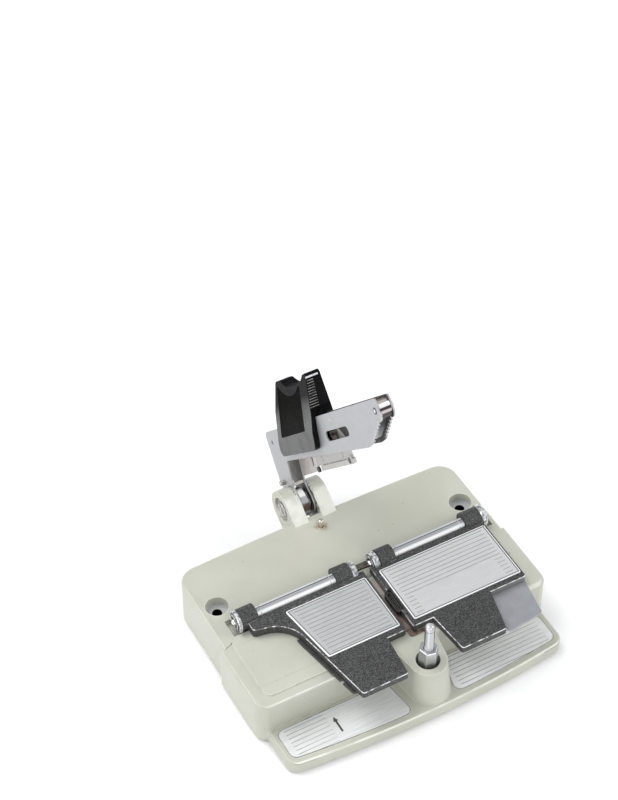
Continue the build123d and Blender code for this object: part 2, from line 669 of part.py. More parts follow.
RIGHT_LEAF = [
    (10.4, LEAF_REAR_Y), (10.4, -26.0), (13.8, -26.0), (13.8, -27.6), (RIGHT_END_X - 21.4, -27.6),
    (RIGHT_END_X - 23.4, -50.6), (RIGHT_END_X - 3.4, -48.4), (RIGHT_END_X - 0.1, -27.6),
    (RIGHT_END_X - 0.1, LEAF_REAR_Y),
]
RIGHT_LEAF_ROUNDS = {5: 2.0, 6: 2.0, 7: 1.0}


def make_leaf(name, points, rounds, split, pin_x):
    """Lower film leaf: thin plate, its two knuckles on the axle, and two register pins."""
    with BuildPart() as leaf:
        add(outline_face(points, LEAF_Z, rounds))
        extrude(amount=LEAF_THICK)
        for _, (low_x, high_x) in split:
            with BuildSketch(level(LEAF_Z)):
                with Locations(((low_x + high_x) / 2, (LEAF_REAR_Y + AXLE_Y - 1) / 2)):
                    Rectangle(high_x - low_x, AXLE_Y - LEAF_REAR_Y + 1)
            extrude(amount=LEAF_THICK)
            add(disc(low_x, high_x, SLEEVE_R))
        add(disc(AXLE_X[0], AXLE_X[1], AXLE_R + RUN), mode=Mode.SUBTRACT)
    save(leaf.part, name)
    with BuildPart() as pins:
        with BuildSketch(level(LEAF_Z + LEAF_THICK)):
            with Locations((pin_x, PERF_Y), (pin_x + PIN_PITCH, PERF_Y)):
                Circle(PIN_R)
        extrude(amount=PIN_TALL)
        fillet(pins.faces().sort_by(Axis.Z)[-2:].edges(), PIN_R * 0.5)
    save(pins.part, name.replace("leaf", "register_pins"))


make_leaf("left_leaf", LEFT_LEAF, {}, LEFT_SPLIT, LEFT_IN_X - 8.0)
make_leaf("right_leaf", RIGHT_LEAF, RIGHT_LEAF_ROUNDS, RIGHT_SPLIT, RIGHT_IN_X + 8.0)


def make_clamp(name, points, rounds, pocket, split, plate_points, pad_x, groove_x, shoe):
    """Upper film clamp with its knuckles; returns nothing but saves the clamp, its plate and its pad."""
    plate_floor = CLAMP_TOP_Z + PLATE_PROUD - PLATE_THICK
    pad_y = FILM_Y - 1.2
    with BuildPart() as clamp:
        add(outline_face(points, CLAMP_SKIRT_Z, rounds))
        extrude(amount=CLAMP_TOP_Z - CLAMP_SKIRT_Z)
        fillet(clamp.faces().sort_by(Axis.Z)[-1].edges(), EDGE_ROUND)
        with BuildSketch(level(CLAMP_SKIRT_Z)):
            with BuildLine():
                Polyline(*pocket, close=True)
            make_face()
        extrude(amount=CLAMP_Z - CLAMP_SKIRT_Z, mode=Mode.SUBTRACT)
        # pocket of the pressure pad, and the groove that clears the register pins
        with BuildSketch(level(CLAMP_Z)):
            with Locations((pad_x, pad_y)):
                Rectangle(PAD_LONG, PAD_WIDE)
            with Locations((groove_x, PERF_Y + 0.6)):
                Rectangle(2 * PIN_PITCH + 6, 4.2)
        extrude(amount=PAD_DEEP, mode=Mode.SUBTRACT)
        recess = outline_face(plate_points, plate_floor, PLATE_ROUNDS, PLATE_GAP)
        extrude(recess, amount=PLATE_THICK, mode=Mode.SUBTRACT)
        if shoe:
            with BuildSketch(level(CLAMP_SKIRT_Z)):
                with Locations(((SHOE_X[0] + SHOE_X[1]) / 2, (SHOE_Y[0] + SHOE_Y[1]) / 2)):
                    Rectangle(SHOE_X[1] - SHOE_X[0], SHOE_Y[0] - SHOE_Y[1])
            extrude(amount=10, mode=Mode.SUBTRACT)
        for (low_x, high_x), _ in split:
            add(disc(low_x, high_x, KNUCKLE_R))
        for low_x, high_x, radius, _ in BRACKETS:
            add(disc(low_x - SIDE, high_x + SIDE, radius + PASS), mode=Mode.SUBTRACT)
        add(disc(AXLE_X[0], AXLE_X[1], AXLE_R + RUN), mode=Mode.SUBTRACT)
    save(clamp.part, f"{name}_clamp")
    with BuildPart() as plate:
        add(outline_face(plate_points, plate_floor, PLATE_ROUNDS))
        extrude(amount=PLATE_THICK)
        chamfer(plate.faces().sort_by(Axis.Z)[-1].edges(), 0.2)
    save(plate.part, f"{name}_plate")
    with BuildPart() as pad:
        with BuildSketch(level(CLAMP_Z - PAD_DROP)):
            with Locations((pad_x, pad_y)):
                Rectangle(PAD_LONG - 2 * RUN, PAD_WIDE - 2 * RUN)
        extrude(amount=PAD_DEEP + PAD_DROP)
    save(pad.part, f"{name}_pad")
    with BuildPart() as sleeve:
        add(disc(split[0][1][1] + SIDE, split[1][1][0] - SIDE, SLEEVE_R))
        chamfer(sleeve.edges().filter_by(GeomType.CIRCLE), EDGE_ROUND / 2)
        add(disc(split[0][1][1], split[1][1][0], AXLE_R + RUN), mode=Mode.SUBTRACT)
    save(sleeve.part, f"{name}_sleeve")


PLATE_ROUNDS = {0: 1.0, 1: 1.0, 2: 1.0, 3: 1.0}
LEFT_PLATE = [(LEFT_END_X + 18.2, 7.9), (LEFT_END_X + 23.3, -25.1), (0.3, -25.1), (0.3, 7.9)]
RIGHT_PLATE = [(7.9, 8.2), (7.9, -25.4), (RIGHT_END_X - 0.8, -25.4), (RIGHT_END_X - 0.8, 8.2)]
make_clamp(
    "left", LEFT_CLAMP, LEFT_CLAMP_ROUNDS, LEFT_POCKET, LEFT_SPLIT, LEFT_PLATE,
    LEFT_IN_X - PAD_FROM_EDGE - PAD_LONG / 2, LEFT_IN_X - 8.0 + PIN_PITCH / 2, False,
)
make_clamp(
    "right", RIGHT_CLAMP, RIGHT_CLAMP_ROUNDS, RIGHT_POCKET, RIGHT_SPLIT, RIGHT_PLATE,
    RIGHT_IN_X + 5 + PAD_LONG / 2, RIGHT_IN_X + 8.0 + PIN_PITCH / 2, True,
)

# ================================================================ film bed and guide shoe in the gap
with BuildPart() as film_bed:
    with BuildSketch(level(TOP_Z)):
        with Locations(((BED_X[0] + BED_X[1]) / 2, (BED_Y[0] + BED_Y[1]) / 2)):
            Rectangle(BED_X[1] - BED_X[0], BED_Y[0] - BED_Y[1])
    extrude(amount=BED_THICK)
    with BuildSketch(level(TOP_Z)) as tongue:
        with Locations(((TONGUE_X[0] + TONGUE_X[1]) / 2, (BED_Y[1] + TONGUE_Y) / 2)):
            Rectangle(TONGUE_X[1] - TONGUE_X[0], BED_Y[1] - TONGUE_Y)
        fillet(tongue.vertices().group_by(Axis.Y)[0], 1.2)
    extrude(amount=BED_THICK * 0.6)
    # slot that takes the blade's edge
    with BuildSketch(level(TOP_Z + BED_THICK)):
        with Locations((POST_X, FILM_Y)):
            Rectangle(*BED_SLOT)
    extrude(amount=-BED_THICK * 0.6, mode=Mode.SUBTRACT)
save(film_bed.part, "film_bed")

SHOE_CENTRE = ((SHOE_X[0] + SHOE_X[1]) / 2, (SHOE_Y[0] + SHOE_Y[1]) / 2)
with BuildPart() as guide_shoe:
    with BuildSketch(level(SHOE_Z[0])):
        with Locations(SHOE_CENTRE):
            Rectangle(SHOE_X[1] - SHOE_X[0], SHOE_Y[0] - SHOE_Y[1] - 2 * SIDE)
    extrude(amount=SHOE_Z[1] - SHOE_Z[0])
    fillet(guide_shoe.edges().filter_by(Axis.Z), SHOE_CORNER)
    with BuildSketch(level(SHOE_Z[1])):
        with Locations(SHOE_CENTRE):
            RectangleRounded(SHOE_SLOT[0], SHOE_SLOT[1], SHOE_SLOT[0] * 0.4)
    extrude(amount=-SHOE_SLOT[2], mode=Mode.SUBTRACT)
save(guide_shoe.part, "guide_shoe")

# ================================================================ arm hinge pin, its nut and the hub
HINGE = (HINGE_Y, HINGE_Z)
with BuildPart() as arm_hinge_pin:
    add(disc(-LUG_OUT + LUG_RECESS, LUG_OUT - LUG_RECESS + HINGE_HEAD, HINGE_PIN_R, HINGE))
    add(disc(-LUG_OUT + LUG_RECESS - HINGE_HEAD, -LUG_OUT + LUG_RECESS, HINGE_HEAD_R, HINGE))
    with BuildSketch(across(-LUG_OUT + LUG_RECESS - HINGE_HEAD)):
        with Locations(HINGE):
            Rectangle(2 * HINGE_HEAD_R + 1, SLOT_WIDE, rotation=35)
    extrude(amount=SLOT_DEEP, mode=Mode.SUBTRACT)
save(arm_hinge_pin.part, "arm_hinge_pin")

with BuildPart() as hinge_nut:
    with BuildSketch(across(LUG_OUT - LUG_RECESS)):
        with Locations(HINGE):
            RegularPolygon(HINGE_HEAD_R + 0.6, 6)
            Circle(HINGE_PIN_R + SLIP, mode=Mode.SUBTRACT)
    extrude(amount=HINGE_HEAD)
save(hinge_nut.part, "hinge_nut")


def on_arm(x_from, x_to, centre, radius, inner=0.0):
    """Pin, bush or ring along X at a place on the arm."""
    with BuildPart() as ring:
        with BuildSketch(arm_side(x_to)):
            with Locations(centre):
                Circle(radius)
                if inner:
                    Circle(inner, mode=Mode.SUBTRACT)
        extrude(amount=x_to - x_from)
    return ring.part


with BuildPart() as hub_roller:
    add(on_arm(HUB_X[0], HUB_X[1], (0, 0), HUB_R, HINGE_PIN_R + RUN))
    chamfer(hub_roller.edges().filter_by(GeomType.CIRCLE).group_by(SortBy.RADIUS)[-1], 0.3)
save(hub_roller.part, "hub_roller")

with BuildPart() as torsion_spring:
    spring_room = CHEEK_IN - HUB_X[1] - 2 * SPRING_WIRE_R - 2 * SIDE
    spring_start = Vector(HUB_X[1] + SPRING_WIRE_R + SIDE, DATUM_Y + HINGE_Y, HINGE_Z)
    with BuildLine():
        coil = Helix(
            spring_room / SPRING_TURNS, spring_room, SPRING_R, center=spring_start, direction=(1, 0, 0)
        )
    with BuildSketch(Plane(origin=coil @ 0, z_dir=coil % 0)):
        Circle(SPRING_WIRE_R)
    sweep()
save(torsion_spring.part, "torsion_spring")


# ================================================================ arm side plates
def tooth_line():
    """Points of the serrated end, from the nose down to the lower edge."""
    along = Vector(TEETH_LOW[0] - TEETH_TOP[0], TEETH_LOW[1] - TEETH_TOP[1])
    step = along / TEETH
    inward = Vector(along.Y, -along.X).normalized() * TOOTH_DEPTH
    points = []
    for number in range(TEETH):
        tip = Vector(*TEETH_TOP) + step * (number + 0.5)
        valley = Vector(*TEETH_TOP) + step * (number + 1) + inward
        points += [(tip.X, tip.Y), (valley.X, valley.Y)]
    return points


CHEEK_OUTLINE = [
    (-8.0, 0.0), (-9.2, 13.0), (-4.9, 34.6), (-4.0, ARM_TOP_U), (ARM_TIP_D, ARM_TOP_U), (ARM_TIP_D, 30.4),
    (TEETH_TOP[0] + 1.2, TEETH_TOP[1]), *tooth_line(), TEETH_LOW, (ARM_TIP_D - 27.4, 18.3), (100.0, 19.0),
    (11.5, 21.8), (6.2, 8.4), (8.0, 0.0),
]
CHEEK_ROUNDS = {(-4.0, ARM_TOP_U): 3.5, (ARM_TIP_D, ARM_TOP_U): 2.0, (11.5, 21.8): 1.5}


def make_cheek(name, x_from, x_to, holes, windowed):
    """One side plate of the arm, with its toothed nose and its holes."""
    with BuildPart() as cheek:
        with BuildSketch(arm_side(x_to)) as outline:
            with BuildLine():
                Polyline(*CHEEK_OUTLINE, close=True)
            make_face()
            for point, radius in CHEEK_ROUNDS.items():
                fillet(outline.vertices().sort_by_distance(point)[0], radius)
            Circle(EYE_R)
            with Locations(NOTCH[:2]):
                Circle(NOTCH[2], mode=Mode.SUBTRACT)
            if windowed:
                with Locations(WINDOW[:2]):
                    SlotOverall(WINDOW[2], WINDOW[3], mode=Mode.SUBTRACT)
            for centre, radius in holes.items():
                with Locations(centre):
                    Circle(radius, mode=Mode.SUBTRACT)
        extrude(amount=x_to - x_from)
    save(cheek.part, name)


CHEEK_HOLES = {
    (0, 0): HINGE_PIN_R + RUN, HOLE_DU: SPACER_PIN_R, ROLLER_DU: ROLLER_PIN_R + SLIP,
    BRIDGE_DU: BRIDGE_PIN_R + SLIP, SPACER_DU: SPACER_PIN_R + SLIP,
}
make_cheek("arm_plate_near", -CHEEK_OUT, -CHEEK_IN, {**CHEEK_HOLES, STOP_BAR_DU: STOP_BAR_R + SLIP}, True)
make_cheek("arm_plate_far", CHEEK_IN, CHEEK_OUT, CHEEK_HOLES, False)

with BuildPart() as arm_spacers:
    for centre, pin_r in ((BRIDGE_DU, BRIDGE_PIN_R), (SPACER_DU, SPACER_PIN_R)):
        add(on_arm(-CHEEK_OUT, CHEEK_OUT, centre, pin_r))
        add(on_arm(-CHEEK_IN, CHEEK_IN, centre, pin_r + SPACER_SHOULDER))
save(arm_spacers.part, "arm_spacers")

with BuildPart() as arm_stop_bar:
    add(on_arm(-STOP_BAR_OUT, -CHEEK_IN, STOP_BAR_DU, STOP_BAR_R))
    chamfer(arm_stop_bar.edges().filter_by(GeomType.CIRCLE), 0.25)
save(arm_stop_bar.part, "arm_stop_bar")

with BuildPart() as neck_bridge:
    with BuildSketch(arm_side(CHEEK_IN)) as outline:
        with BuildLine():
            Polyline(*NECK_BRIDGE, close=True)
        make_face()
    extrude(amount=2 * CHEEK_IN)
save(neck_bridge.part, "neck_bridge")

# ================================================================ nose: roller, its pin, the strip behind the teeth
with BuildPart() as nose_roller:
    with BuildSketch(arm_side(CHEEK_IN - SIDE)):
        with Locations(ROLLER_DU):
            Circle(ROLLER_R)
            Circle(ROLLER_PIN_R + RUN, mode=Mode.SUBTRACT)
            with PolarLocations(ROLLER_R + FLUTE[1], ROLLER_FLUTES):
                Circle(FLUTE[0], mode=Mode.SUBTRACT)
    extrude(amount=2 * (CHEEK_IN - SIDE))
save(nose_roller.part, "nose_roller")

with BuildPart() as roller_pin:
    add(on_arm(-CHEEK_OUT - SIDE, CHEEK_OUT, ROLLER_DU, ROLLER_PIN_R))
    add(on_arm(CHEEK_OUT, CHEEK_OUT + ROLLER_HEAD[1], ROLLER_DU, ROLLER_HEAD[0]))
    chamfer(roller_pin.faces().sort_by(Axis.X)[-1].edges(), 0.5)
save(roller_pin.part, "roller_pin")

with BuildPart() as nose_strip:
    with BuildSketch(arm_side(CHEEK_IN)):
        with BuildLine():
            Polyline(*NOSE_STRIP, close=True)
        make_face()
    extrude(amount=2 * CHEEK_IN)
save(nose_strip.part, "nose_strip")

with BuildPart() as arm_web:
    with BuildSketch(arm_side(CHEEK_IN)):
        with Locations(((WEB[0] + WEB[1]) / 2, (WEB[2] + WEB[3]) / 2)):
            Rectangle(WEB[1] - WEB[0], WEB[3] - WEB[2])
    extrude(amount=2 * CHEEK_IN)
save(arm_web.part, "arm_web")

# ================================================================ link and coil behind the near plate's slot
with BuildPart() as carrier_link:
    with BuildSketch(arm_side(CHEEK_IN)):
        with BuildLine():
            Polyline(*LINK, close=True)
        make_face()
    extrude(amount=LINK_THICK)
save(carrier_link.part, "carrier_link")

with BuildPart() as catch_coil:
    add(on_arm(*CATCH_COIL_X, CATCH_COIL[:2], CATCH_COIL[2], CATCH_COIL[3]))
save(catch_coil.part, "catch_coil")

# ================================================================ tool carrier and its blade strip
CARRIER_OUTLINE = [
    (6.5, 20.8), (6.5, 11.6), (28.2, 12.2), (29.0, 14.6), (34.6, 14.6), (TOOL_D[0], TOOL_U[1]),
    (TOOL_D[1] - 1, TOOL_U[1]), (TOOL_D[1] - 2.5, 24.0), (12.0, 26.0),
]
CARRIER_RIVETS = ((44.0, 20.8), (70.0, 20.4), (14.0, 23.6))
with BuildPart() as tool_carrier:
    with BuildSketch(arm_side(CHEEK_OUT + CARRIER_THICK)):
        with BuildLine():
            Polyline(*CARRIER_OUTLINE, close=True)
        make_face()
        with Locations(CAM_PIN_DU):
            SlotOverall(*CATCH_SLOT, rotation=CATCH_LEAN, mode=Mode.SUBTRACT)
        with Locations(*CARRIER_RIVETS):
            Circle(RIVET_R + SLIP, mode=Mode.SUBTRACT)
    extrude(amount=CARRIER_THICK)
save(tool_carrier.part, "tool_carrier")

with BuildPart() as blade_strip:
    # bar with a rounded front end, hung under the carrier so that it drops between the clamps
    with BuildSketch(arm_side(TOOL_X[1])) as outline:
        with Locations(((TOOL_D[0] + TOOL_D[1]) / 2, (TOOL_U[0] + TOOL_U[1]) / 2)):
            Rectangle(TOOL_D[1] - TOOL_D[0], TOOL_U[1] - TOOL_U[0])
        fillet(outline.vertices(), 0.8)
    extrude(amount=TOOL_X[1] - TOOL_X[0])
save(blade_strip.part, "blade_strip")

with BuildPart() as carrier_rivets:
    for spot in CARRIER_RIVETS:
        add(on_arm(CHEEK_OUT, CHEEK_OUT + CARRIER_THICK, spot, RIVET_R))
        add(on_arm(CHEEK_OUT + CARRIER_THICK, CHEEK_OUT + CARRIER_THICK + RIVET_HEAD[1], spot, RIVET_HEAD[0]))
save(carrier_rivets.part, "carrier_rivets")

with BuildPart() as carrier_catch:
    # small spring catch seen through the slot, held between the plates
    add(on_arm(CHEEK_OUT, CHEEK_OUT + CARRIER_THICK, CAM_PIN_DU, CATCH_PIN_R))
    with BuildSketch(arm_side(CHEEK_OUT + CARRIER_THICK / 2)):
        with Locations(CAM_PIN_DU):
            SlotOverall(CATCH_SLOT[0] - 2 * SIDE, CATCH_SLOT[1] - 2 * SIDE, rotation=CATCH_LEAN)
    extrude(amount=CARRIER_THICK / 2)
save(carrier_catch.part, "carrier_catch")

# ================================================================ handle: two shells closed over the plates
GRIP_OUTLINE_LOW = [(15.2, GRIP_LOW_U + 1.2), (65.5, GRIP_LOW_U)]
GRIP_FRONT = [(69.5, 31.0), (74.6, 39.5), (81.6, GRIP_TOP_U - 2.6)]
GRIP_HORN = [(80.8, GRIP_TOP_U - 1.2), (77.4, GRIP_TOP_U - 1.4)]
GRIP_SADDLE = [(61.0, GRIP_TOP_U - 6.0), (45.0, GRIP_TOP_U - 0.4)]
GRIP_REAR = [(38.8, GRIP_TOP_U), (26.8, GRIP_TOP_U - 13.6)]
GRIP_ROUNDS = {
    GRIP_OUTLINE_LOW[0]: 3.0, GRIP_OUTLINE_LOW[1]: 5.0, GRIP_FRONT[0]: 9.0, GRIP_FRONT[1]: 12.0,
    GRIP_REAR[0]: 3.0, GRIP_REAR[1]: 8.0, GRIP_HORN[0]: 1.0,
}
GRIP_SECTION = [
    (-GRIP_HALF, 0), (GRIP_HALF, 0), (GRIP_HALF, GRIP_SHOULDER_U), (GRIP_TOP_HALF, GRIP_TOP_U + 1),
    (-GRIP_TOP_HALF, GRIP_TOP_U + 1), (-GRIP_HALF, GRIP_SHOULDER_U),
]
GRIP_RISE = GRIP_TOP_U - GRIP_SHOULDER_U
# corners of the sunk panel on the leaning side; the fourth is the middle of its top arc
PANEL = [(25.5, 1.6), (60.5, 1.6), (70.6, GRIP_RISE - 3.8), (55.5, GRIP_RISE - 8.8), (39.4, GRIP_RISE - 2.0)]
PANEL_CORNER = 1.0
SIDE_LEAN = atan2(GRIP_HALF - GRIP_TOP_HALF, GRIP_TOP_U - GRIP_SHOULDER_U)


def grip_body():
    """The whole handle as one closed form in place: its side outline, narrowed towards the saddle."""
    with BuildPart() as body:
        with BuildSketch(arm_side(GRIP_HALF)) as outline:
            with BuildLine():
                saddle = ThreePointArc(GRIP_HORN[1], GRIP_SADDLE[0], GRIP_SADDLE[1])
                rise = Polyline(*GRIP_OUTLINE_LOW, *GRIP_FRONT, GRIP_HORN[0], GRIP_HORN[1])
                Polyline(saddle @ 1, *GRIP_REAR, rise @ 0)
            make_face()
            for point, radius in GRIP_ROUNDS.items():
                fillet(outline.vertices().sort_by_distance(point)[0], radius)
        extrude(amount=2 * GRIP_HALF)
        section_plane = Plane(origin=arm_side(0).origin, x_dir=(1, 0, 0), z_dir=arm_side(0).x_dir)
        with BuildSketch(section_plane):
            with BuildLine():
                Polyline(*GRIP_SECTION, close=True)
            make_face()
        extrude(amount=ARM_TIP_D, mode=Mode.INTERSECT)
    return body.part


def panel(side, drop, thick, grow):
    """Slab of the grip's inset panel on one leaning side face, sunk by a depth."""
    up = Vector(0, sin(radians(ARM_ANGLE)), cos(radians(ARM_ANGLE)))
    foot = arm_side(side * GRIP_HALF).from_local_coords((0, GRIP_SHOULDER_U, 0))
    climb = up * cos(SIDE_LEAN) - Vector(side * sin(SIDE_LEAN), 0, 0)
    normal = Vector(side * cos(SIDE_LEAN), 0, 0) + up * sin(SIDE_LEAN)
    along = climb.cross(normal)
    way = 1 if along.dot(arm_side(0).x_dir) > 0 else -1
    face = Plane(origin=foot - normal * drop, x_dir=along, z_dir=normal)
    with BuildPart() as slab:
        with BuildSketch(face) as outline:
            low_rear, low_front, high_front, middle, high_rear = [(way * d, up_face) for d, up_face in PANEL]
            with BuildLine():
                Polyline(high_rear, low_rear, low_front, high_front)
                ThreePointArc(high_front, middle, high_rear)
            make_face()
            fillet(outline.vertices(), PANEL_CORNER)
            offset(amount=grow)
        extrude(amount=thick)
    return slab.part


PLATES_SLAB = CHEEK_OUT + GRIP_FACE_GAP
CARRIER_ROOM = CARRIER_THICK + 1.0
CARRIER_TOP_U = 27.0
ROOM = 2 * ARM_TIP_D
for name, side in (("near", -1), ("far", 1)):
    with BuildPart() as shell:
        add(grip_body())
        # room for the side plates below, and the other half of the handle
        with BuildSketch(arm_side(PLATES_SLAB)):
            with Locations((0, ARM_TOP_U + GRIP_FACE_GAP - ROOM / 2)):
                Rectangle(2 * ROOM, ROOM)
        extrude(amount=2 * PLATES_SLAB, mode=Mode.SUBTRACT)
        with BuildSketch(arm_side(GRIP_HALF + 1 if side < 0 else GRIP_FACE_GAP / 2)):
            Rectangle(2 * ROOM, 2 * ROOM)
        extrude(amount=GRIP_HALF + 1 + GRIP_FACE_GAP / 2, mode=Mode.SUBTRACT)
        # the far shell also steps over the tool carrier
        if side > 0:
            with BuildSketch(arm_side(CHEEK_OUT + CARRIER_ROOM)):
                with Locations((0, CARRIER_TOP_U - ROOM / 2)):
                    Rectangle(2 * ROOM, ROOM)
            extrude(amount=CARRIER_ROOM, mode=Mode.SUBTRACT)
        add(panel(side, INSET_DEEP, INSET_DEEP + 1, 0), mode=Mode.SUBTRACT)
    save(shell.part, f"handle_{name}")
    with BuildPart() as inset:
        add(panel(side, INSET_DEEP, INSET_THICK, -INSET_GAP))
    save(inset.part, f"grip_inset_{name}")
print(len(os.listdir("parts")), "pieces written")
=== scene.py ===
from math import cos, pi, radians, sin

import bmesh
import bpy
from mathutils import Matrix, Vector


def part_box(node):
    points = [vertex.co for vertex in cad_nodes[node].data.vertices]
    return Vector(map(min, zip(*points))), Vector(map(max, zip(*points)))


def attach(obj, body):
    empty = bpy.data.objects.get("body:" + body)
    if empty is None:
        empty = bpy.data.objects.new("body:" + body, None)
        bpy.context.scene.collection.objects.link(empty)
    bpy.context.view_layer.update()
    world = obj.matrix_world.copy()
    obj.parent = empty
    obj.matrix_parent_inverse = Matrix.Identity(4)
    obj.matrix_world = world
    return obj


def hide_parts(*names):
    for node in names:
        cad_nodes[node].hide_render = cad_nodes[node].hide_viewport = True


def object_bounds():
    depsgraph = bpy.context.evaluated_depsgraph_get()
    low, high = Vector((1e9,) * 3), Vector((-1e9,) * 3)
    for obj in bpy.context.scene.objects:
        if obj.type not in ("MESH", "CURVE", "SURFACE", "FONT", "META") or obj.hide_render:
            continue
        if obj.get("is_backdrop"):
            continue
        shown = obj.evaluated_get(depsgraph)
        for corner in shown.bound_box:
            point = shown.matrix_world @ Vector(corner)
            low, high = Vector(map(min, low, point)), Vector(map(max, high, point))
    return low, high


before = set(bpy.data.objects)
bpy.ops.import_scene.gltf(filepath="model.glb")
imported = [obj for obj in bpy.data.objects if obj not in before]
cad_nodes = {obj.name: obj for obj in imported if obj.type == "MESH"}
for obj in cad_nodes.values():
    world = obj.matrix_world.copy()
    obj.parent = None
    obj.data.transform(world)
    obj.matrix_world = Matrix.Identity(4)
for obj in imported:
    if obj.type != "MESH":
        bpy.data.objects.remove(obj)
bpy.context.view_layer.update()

MM = 0.001

# ---- Camera and light -------------------------------------------------------------------------------
# The splicer is seen from its front left and above, under a large soft lamp high at the rear left,
# with weaker ones at its right, front and left.
CAMERA_PLACE = (-339.88 * MM, -568.70 * MM, 825.85 * MM)
CAMERA_TURN = radians(-29.1)
CAMERA_DROP = radians(45.9)
CAMERA_LENS = 96.75
CAMERA_SENSOR = 36.0
ROOM_TINT = (0.95, 0.97, 1.0, 1)
ROOM_STRENGTH = 0.55

camera_data = bpy.data.cameras.new("camera")
camera_data.lens = CAMERA_LENS
camera_data.sensor_width = CAMERA_SENSOR
camera = bpy.data.objects.new("camera", camera_data)
bpy.context.scene.collection.objects.link(camera)
camera.matrix_world = (
    Matrix.Translation(CAMERA_PLACE)
    @ Matrix.Rotation(CAMERA_TURN, 4, "Z")
    @ Matrix.Rotation(pi / 2 - CAMERA_DROP, 4, "X")
)
bpy.context.scene.camera = camera
bpy.context.scene.view_settings.view_transform = "Standard"

world = bpy.data.worlds.new("soft_room")
world.use_nodes = True
world.node_tree.nodes["Background"].inputs["Color"].default_value = ROOM_TINT
world.node_tree.nodes["Background"].inputs["Strength"].default_value = ROOM_STRENGTH
bpy.context.scene.world = world


def add_lamp(name, place, aim, side, power):
    """Square soft lamp that faces a point."""
    lamp_data = bpy.data.lights.new(name, "AREA")
    lamp_data.size = side
    lamp_data.energy = power
    lamp = bpy.data.objects.new(name, lamp_data)
    bpy.context.scene.collection.objects.link(lamp)
    away = (Vector(place) - Vector(aim)).to_track_quat("Z", "Y")
    lamp.matrix_world = Matrix.Translation(place) @ away.to_matrix().to_4x4()


LAMP_AIM = (0, 0, 0.03)
LAMPS = (  # name, place in metres, side of the square in metres, power in watts
    ("lamp_rear_left", (-0.35, 0.45, 0.95), 0.7, 7.0),
    ("lamp_right", (0.75, -0.25, 0.6), 0.5, 2.5),
    ("lamp_front", (-0.1, -0.9, 0.55), 0.5, 3.4),
    ("lamp_left", (-0.9, -0.15, 0.35), 0.5, 2.0),
)
for name, place, side, power in LAMPS:
    add_lamp(name, place, LAMP_AIM, side, power)


# ---- Helpers for finishes and pieces ----------------------------------------------------------------
# Every mask is a number from 0 to 1, and every length is in metres.
def shade(tree, kind, inputs=None, **settings):
    """Adds a shader node: its settings by name, its inputs set or linked."""
    node = tree.nodes.new("ShaderNode" + kind)
    for key, value in settings.items():
        setattr(node, key, value)
    for key, value in (inputs or {}).items():
        if isinstance(value, bpy.types.NodeSocket):
            tree.links.new(value, node.inputs[key])
        else:
            node.inputs[key].default_value = value
    return node


def new_finish(name, **sockets):
    """Material with its shader's plain values set, and the object's own coordinates."""
    material = bpy.data.materials.new(name)
    material.use_nodes = True
    tree = material.node_tree
    shader = tree.nodes["Principled BSDF"]
    for key, value in sockets.items():
        shader.inputs[key.replace("_", " ")].default_value = value
    place = shade(tree, "TexCoord").outputs["Object"]
    return material, tree, shader, place


def tint(red, green, blue):
    """Colour as seen on a screen, 0 to 255, as the shader wants it."""
    shares = [value / 255 for value in (red, green, blue)]
    return (*(((share + 0.055) / 1.055) ** 2.4 if share > 0.04045 else share / 12.92 for share in shares), 1)


def grain(tree, place, size, detail=2.0, rough=0.5, stretch=None):
    """Cloudy noise from 0 to 1, with features of a size in metres."""
    if stretch:
        place = shade(tree, "Mapping", {"Vector": place, "Scale": stretch}).outputs["Vector"]
    sockets = {"Vector": place, "Scale": 1 / size, "Detail": detail, "Roughness": rough}
    return shade(tree, "TexNoise", sockets).outputs["Fac"]


def mixed(tree, mask, first, second):
    """Colour that goes from the first to the second as the mask goes from 0 to 1."""
    return shade(tree, "Mix", {0: mask, 6: first, 7: second}, data_type="RGBA").outputs[2]


def feed(tree, shader, **sockets):
    """Links colours or values to the shader's inputs of those names."""
    for key, value in sockets.items():
        tree.links.new(value, shader.inputs[key.replace("_", " ")])


def ramp(tree, value, low, high, bottom=0.0, top=1.0):
    """Smooth step of a value between two limits."""
    sockets = {"Value": value, "From Min": low, "From Max": high, "To Min": bottom, "To Max": top}
    return shade(tree, "MapRange", sockets, interpolation_type="SMOOTHSTEP").outputs["Result"]


def calc(tree, operation, first, second=0.0):
    """Sum, product or other operation on two numbers."""
    return shade(tree, "Math", {0: first, 1: second}, operation=operation).outputs[0]


def minus(tree, first, second):
    """Difference of two numbers."""
    return calc(tree, "SUBTRACT", first, second)


def above(tree, value, limit):
    """1 where the value is more than the limit."""
    return calc(tree, "GREATER_THAN", value, limit)


def below(tree, value, limit):
    """1 where the value is less than the limit."""
    return calc(tree, "LESS_THAN", value, limit)


def times(tree, *masks):
    """Product of several masks."""
    product = masks[0]
    for mask in masks[1:]:
        product = calc(tree, "MULTIPLY", product, mask)
    return product


def between(tree, value, low, high):
    """1 where the value lies between two limits, each a number or a socket."""
    return times(tree, above(tree, value, low), below(tree, value, high))


def near(tree, value, middle, half):
    """Soft mask of the places where a value lies within a half width of a middle."""
    return ramp(tree, calc(tree, "ABSOLUTE", minus(tree, value, middle)), half, half * 0.5)


def axes(tree, place):
    """The three coordinates of a place, as separate numbers."""
    parts = shade(tree, "SeparateXYZ", {0: place}).outputs
    return parts[0], parts[1], parts[2]


def vector_value(tree, operation, first, second):
    """Number that comes of two vectors, such as their distance."""
    return shade(tree, "VectorMath", {0: first, 1: second}, operation=operation).outputs["Value"]


def from_centre(tree, first, second, centre):
    """Distance from a centre, counted in two coordinates alone."""
    flat = shade(tree, "CombineXYZ", {0: first, 1: second, 2: 0.0}).outputs[0]
    return vector_value(tree, "DISTANCE", flat, (*centre, 0))


